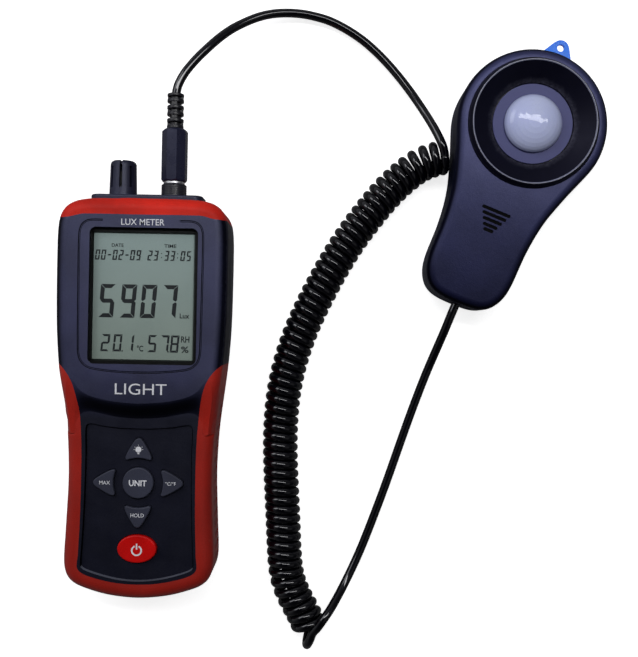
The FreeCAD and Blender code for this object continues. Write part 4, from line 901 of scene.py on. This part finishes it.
def key_symbol(name, key, outlines, drop):
    """Draws outlines round a point a little below the key's centre, towards -Y."""
    x, y, top = key_centre(key)
    placed = [[(x + px, y - drop + py) for px, py in outline] for outline in outlines]
    symbol = flat_plates(name, placed, top + PRINT_GAP, top + PRINT_TOP, "white_print")
    fix_to(symbol, key)


def on_circle(radius, degrees):
    angle = math.radians(degrees)
    return radius * math.cos(angle), radius * math.sin(angle)


def power_symbol():
    """Open ring with a bar through its gap."""
    inner, outer, start, end, steps = 1.65, 2.3, 115, 425, 36
    sweep = end - start
    ring = [on_circle(outer, start + sweep * i / steps) for i in range(steps + 1)]
    ring += [on_circle(inner, end - sweep * i / steps) for i in range(steps + 1)]
    bar = [(-0.33, 0.45), (0.33, 0.45), (0.33, 2.9), (-0.33, 2.9)]
    key_symbol("legend_power", "power_key", [ring, bar], 0.55)


def backlight_symbol():
    """Bulb with five rays and a two-part base."""
    lift = 0.45
    half_ray = 0.12
    bulb = [(x, lift + y) for x, y in (on_circle(1.25, a) for a in range(-50, 231, 20))]
    rays = []
    for degrees in (35, 90, 145, 0, 180):
        along_x, along_y = on_circle(1.0, degrees)
        rays.append([(along_x * reach - along_y * side, lift + along_y * reach + along_x * side)
                     for reach, side in ((1.6, half_ray), (1.6, -half_ray),
                                         (2.0, -half_ray), (2.0, half_ray))])
    base = [[(-0.62, -0.75), (0.62, -0.75), (0.62, -1.0), (-0.62, -1.0)],
            [(-0.5, -1.12), (0.5, -1.12), (0.35, -1.45), (-0.35, -1.45)]]
    key_symbol("legend_backlight", "backlight_key", [bulb] + rays + base, 0.6)


# ------------------------------------------------------------------ cord
CABLE_R = 1.9
COIL_R = 5.85           # helix radius, to the middle of the cable
COIL_PITCH = 3.98
COIL_Z = 7.76
COIL_SWELL = 0.09       # the coil's jacket is this much thicker away from its ends
TURN_POINTS = 26
JACK_X, JACK_Z = 10.7, 17.5

# middle line of the coil, from the plug's lead to the head's lead: x, y
COIL_LINE = [
    (128.3, 108.2), (124.5, 107.2), (120.2, 105.6), (116.0, 103.2), (108.7, 97.1),
    (103.0, 91.2), (95.4, 81.7), (88.0, 71.4), (81.6, 60.9), (75.9, 50.2), (70.9, 39.9),
    (66.4, 29.2), (62.8, 18.0), (60.6, 8.6), (59.2, -1.2), (58.5, -14.0), (58.6, -24.0),
    (59.1, -34.5), (59.8, -45.3), (60.5, -56.4), (61.1, -66.5), (62.0, -75.6), (63.2, -80.8),
    (64.9, -85.3), (67.0, -89.5), (69.3, -93.5), (71.1, -97.0), (72.4, -99.7), (73.7, -101.8),
    (75.2, -103.2),
]
# lead from the plug to the coil: x, y, z
UPPER_LINE = [
    (JACK_X, 106.0, JACK_Z), (JACK_X, 111.0, JACK_Z), (JACK_X, 118.0, JACK_Z),
    (JACK_X, 125.0, JACK_Z), (JACK_X + 0.01, 130.0, JACK_Z), (11.4, 134.9, 17.4),
    (13.9, 140.5, 16.8), (18.5, 147.0, 15.6), (23.78, 153.1, 14.0), (28.72, 158.3, 12.2),
    (33.74, 162.7, 10.3), (38.83, 166.1, 8.6), (43.98, 168.9, 7.1), (49.24, 170.9, 5.8),
    (54.54, 172.0, 4.8), (59.88, 172.4, 4.0), (65.24, 172.2, 3.4), (70.67, 171.3, 3.0),
    (76.11, 169.9, 2.7), (81.56, 167.6, 2.5), (87.01, 164.6, 2.4), (92.46, 160.9, 2.4),
    (98.0, 156.2, 2.5), (103.42, 150.7, 2.9), (108.89, 144.2, 3.8), (114.26, 136.8, 5.4),
    (119.4, 128.6, 7.8), (122.6, 122.6, 10.6), (125.35, 116.8, 13.0), (127.3, 112.0, 14.3),
]
# lead from the top of the coil's last loop towards the head: x, y, z
LOOP_TOP = (74.5, -102.2, COIL_Z + COIL_R + 0.1)
LOWER_LINE = [
    LOOP_TOP, (76.5, -99.5, 14.9), (78.95, -95.9, 15.1), (81.55, -92.55, 13.4),
    (84.15, -88.85, 10.7), (86.7, -84.9, 7.8), (88.94, -80.93, 5.8), (91.08, -76.8, 4.5),
    (95.06, -68.1, 2.9), (98.6, -59.1, 2.3), (101.9, -50.06, 2.2), (105.1, -41.02, 2.2),
    (108.15, -31.98, 2.2), (111.16, -22.84, 2.2), (114.15, -13.79, 2.3), (117.2, -4.72, 2.6),
    (120.38, 4.45, 3.3), (123.63, 13.53, 4.6), (127.1, 22.66, 6.6), (130.6, 31.9, 8.9),
]
# end of the lower lead in the head's own frame: x, y, z
HEAD_ENTRY = [(1.0, -88.5, HEAD_PART_Z - 0.25), (1.0, -83.2, HEAD_PART_Z),
              (1.0, -78.0, HEAD_PART_Z), (1.0, -73.0, HEAD_PART_Z)]


def coil_points():
    """Helix round the coil's middle line, with the pitch opened on bends."""
    centre = spline([Vector((x, y, COIL_Z)) for x, y in COIL_LINE], 0.25)
    for _ in range(10):
        inner = [(a + b * 2 + c) / 4 for a, b, c in zip(centre, centre[1:], centre[2:])]
        centre = [centre[0]] + inner + [centre[-1]]
    count = len(centre)

    def window(i, reach):
        return max(0, i - reach), min(count - 1, i + reach)

    tangents = []
    for i in range(count):
        a, b = window(i, 6)
        tangents.append((centre[b] - centre[a]).normalized())
    turns = [0.0]
    for i in range(1, count):
        a, b = window(i, 10)
        bend = tangents[a].angle(tangents[b]) / max(1e-6, (centre[b] - centre[a]).length)
        opening = 1 - 0.45 * min(0.6, COIL_R * bend)
        turns.append(turns[-1] + (centre[i] - centre[i - 1]).length * opening / COIL_PITCH)
    total = round(turns[-1])
    stretch = total / turns[-1]     # makes the number of turns whole
    points, j = [], 0
    for i in range(total * TURN_POINTS + 1):
        goal = min(i / TURN_POINTS, total - 1e-9)
        while j < count - 2 and turns[j + 1] * stretch < goal:
            j += 1
        share = (goal - turns[j] * stretch) / ((turns[j + 1] - turns[j]) * stretch)
        point = centre[j].lerp(centre[j + 1], share)
        tangent = tangents[j].lerp(tangents[j + 1], share).normalized()
        side = Vector((-tangent.y, tangent.x, 0))
        angle = math.pi / 2 - 2 * math.pi * i / TURN_POINTS
        points.append(point + side * (COIL_R * math.cos(angle))
                      + Vector((0, 0, COIL_R * math.sin(angle))))
    return points


def last_loop(foot):
    """From under the coil's end round a longer loop, up to just short of LOOP_TOP."""
    tip = Vector((71.8, -109.1, 0.0))
    start = Vector((foot.x, foot.y, 0.0))
    end = Vector((LOOP_TOP[0], LOOP_TOP[1], 0.0))
    bulge = tip - start.lerp(end, 0.5)
    steps = 6
    points = []
    for k in range(1, steps):
        angle = math.pi * k / steps
        ground = start.lerp(end, k / steps) + bulge * math.sin(angle)
        points.append(Vector((ground.x, ground.y, COIL_Z - COIL_R * math.cos(angle))))
    return points


def from_head(x, y, z):
    """Sensor head's own frame to the row frame."""
    return Vector((HEAD_X + x * HEAD_COS - y * HEAD_SIN, HEAD_Y + x * HEAD_SIN + y * HEAD_COS, z))


def cord():
    """Three jackets that take the place of the plain cord pieces."""
    # the last half turn is drawn with the lower lead
    helix = coil_points()[:-TURN_POINTS // 2]
    lead_in = (helix[1] - helix[0]).normalized() * 0.9
    upper_points = [Vector(p) for p in UPPER_LINE]
    upper_points += [helix[0] - lead_in, helix[0], helix[0] + lead_in]
    lower_points = [helix[-4], helix[-2], helix[-1]] + last_loop(helix[-1])
    lower_points += [Vector(p) for p in LOWER_LINE] + [from_head(*p) for p in HEAD_ENTRY]

    def jacket(name, points, around, swell=0.0):
        last = len(points) - 1
        # any swelling fades out over the first and last fortieth
        radii = [(CABLE_R + swell * min(1.0, i / last * 40.0, (1.0 - i / last) * 40.0)) * MM
                 for i in range(last + 1)]
        return tube(name, [p * MM for p in points], radii, around)

    upper = jacket("upper_lead_jacket", spline(upper_points, 1.0), around=20)
    coil = jacket("coil_jacket", helix, around=18, swell=COIL_SWELL)
    lower = jacket("lower_lead_jacket", spline(lower_points, 0.9), around=20)
    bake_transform(upper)
    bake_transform(coil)
    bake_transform(lower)
    for ob, piece in ((upper, "upper_lead"), (coil, "coiled_cord"), (lower, "lower_lead")):
        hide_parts(piece)


# ------------------------------------------------------------------ view, light, floor
def add_camera():
    """Looks straight down, turned slightly about Z."""
    camera = bpy.data.cameras.new("camera")
    camera.sensor_width = 36.0
    camera.lens = 49.589041
    camera.clip_start = 0.01
    camera.clip_end = 20.0
    ob = add_object("camera", camera)
    ob.location = (0.0747, 0.0312, 0.410)
    ob.rotation_euler = (0.0, 0.0, math.radians(1.1))
    bpy.context.scene.camera = ob


def area_light(name, place, target, size, power, colour, size_y=None):
    light = bpy.data.lights.new(name, "AREA")
    light.energy = power
    light.color = colour
    light.size = size
    if size_y:
        light.shape = "RECTANGLE"
        light.size_y = size_y
    ob = add_object(name, light)
    ob.location = place
    aim = Vector(target) - Vector(place)
    ob.rotation_euler = aim.to_track_quat("-Z", "Y").to_euler()


def add_lights():
    # a long lamp above, beyond the +Y end, gives the narrow bars of light on cord and dome
    area_light("bar_lamp", place=(0.19, 0.47, 1.02), target=(0.10, 0.06, 0.0), size=1.05,
               size_y=0.15, power=5.0, colour=(1.0, 1.0, 1.0))
    area_light("window_light", place=(-0.62, 0.62, 0.72), target=(0.05, 0.05, 0.0), size=0.6,
               size_y=0.4, power=2.6, colour=(0.96, 0.97, 1.0))
    area_light("fill_light", place=(0.9, -0.2, 1.0), target=(0.07, 0.0, 0.0), size=1.0,
               power=0.5, colour=(0.97, 0.98, 1.0))


def add_world():
    """Dark overhead, brighter at the horizon towards -X +Y; plain white to the camera."""
    world = bpy.data.worlds.new("studio")
    bpy.context.scene.world = world
    world.use_nodes = True
    graph = Graph(world.node_tree)
    axes = graph.split(graph.node("ShaderNodeTexCoord").outputs["Generated"])
    side = graph.math("ADD", graph.math("MULTIPLY", axes["X"], -0.62),
                      graph.math("MULTIPLY", axes["Y"], 0.62))
    side = graph.math("MULTIPLY_ADD", side, 0.5, 0.5)
    side = graph.ramp(side, (0.12, 0.04), (0.5, 0.14), (0.9, 0.55))
    rise = graph.ramp(axes["Z"], (0.0, 1.0), (0.45, 0.7), (0.86, 0.14), (1.0, 0.08))
    level = graph.multiply(graph.multiply(side, rise), (0.95, 0.96, 1.0))
    camera_ray = graph.node("ShaderNodeLightPath").outputs["Is Camera Ray"]
    background = graph.node("ShaderNodeBackground")
    graph.feed(background, Color=graph.mix(camera_ray, level, (1.0, 1.0, 1.0)), Strength=1.0)
    output = graph.node("ShaderNodeOutputWorld")
    graph.feed(output, Surface=background.outputs[0])


def floor_material():
    """White and faintly glowing to the camera, mid grey to all other rays."""
    graph, output = new_material("floor_white")
    white = graph.node("ShaderNodeBsdfPrincipled")
    place = graph.coords()

    def drift(low, high):
        cloud = graph.noise(place, scale=8.0, detail=2.0, rough=0.5)
        return graph.ramp(cloud, (0.3, low), (0.7, high))

    graph.feed(white, Base_Color=drift((0.93, 0.93, 0.935), (0.95, 0.95, 0.95)),
               Roughness=0.9, Specular_IOR_Level=0.1)
    camera_ray = graph.node("ShaderNodeLightPath").outputs["Is Camera Ray"]
    grey = graph.node("ShaderNodeBsdfDiffuse")
    graph.feed(grey, Color=drift(0.26, 0.30))
    glow = graph.node("ShaderNodeEmission")
    graph.feed(glow, Strength=0.80)
    seen = graph.node("ShaderNodeAddShader")
    graph.plug(seen.inputs[0], white.outputs[0])
    graph.plug(seen.inputs[1], glow.outputs[0])
    pick = graph.node("ShaderNodeMixShader")
    graph.plug(pick.inputs[0], camera_ray)
    graph.plug(pick.inputs[1], grey.outputs[0])
    graph.plug(pick.inputs[2], seen.outputs[0])
    graph.feed(output, Surface=pick.outputs[0])


def add_floor():
    half, z = 3, -0.0002
    corners = [(-half, -half), (half, -half), (half, half), (-half, half)]
    floor_material()
    floor = mesh_object("floor", [Vector((x, y, z)) for x, y in corners], [(0, 1, 2, 3)],
                        "floor_white", smooth=False)


# ------------------------------------------------------------------ build
make_materials()
dress_pieces()
# painted shade on the steep sides of case and head
paint("front_case", "case_side_shade", is_case_side)
paint("head_upper_shell", "head_side_shade", is_head_side)
paint("head_upper_shell", "bar_shadow", is_bar)
# painted highlight on the +Y-facing edge near the -Y end of the case
paint("front_case", "painted_edge_highlight", is_case_edge)
# painted highlight on the ring's top lip
paint("baffle_ring", "painted_lip_highlight", is_lip)
taper_boot_sides()
groove_lines()
display_print()
text_legends()
power_symbol()
backlight_symbol()
cord()
add_camera()
add_lights()
add_world()
add_floor()
bpy.context.scene.view_settings.view_transform = "Standard"
bpy.context.scene.view_settings.exposure = 0.0
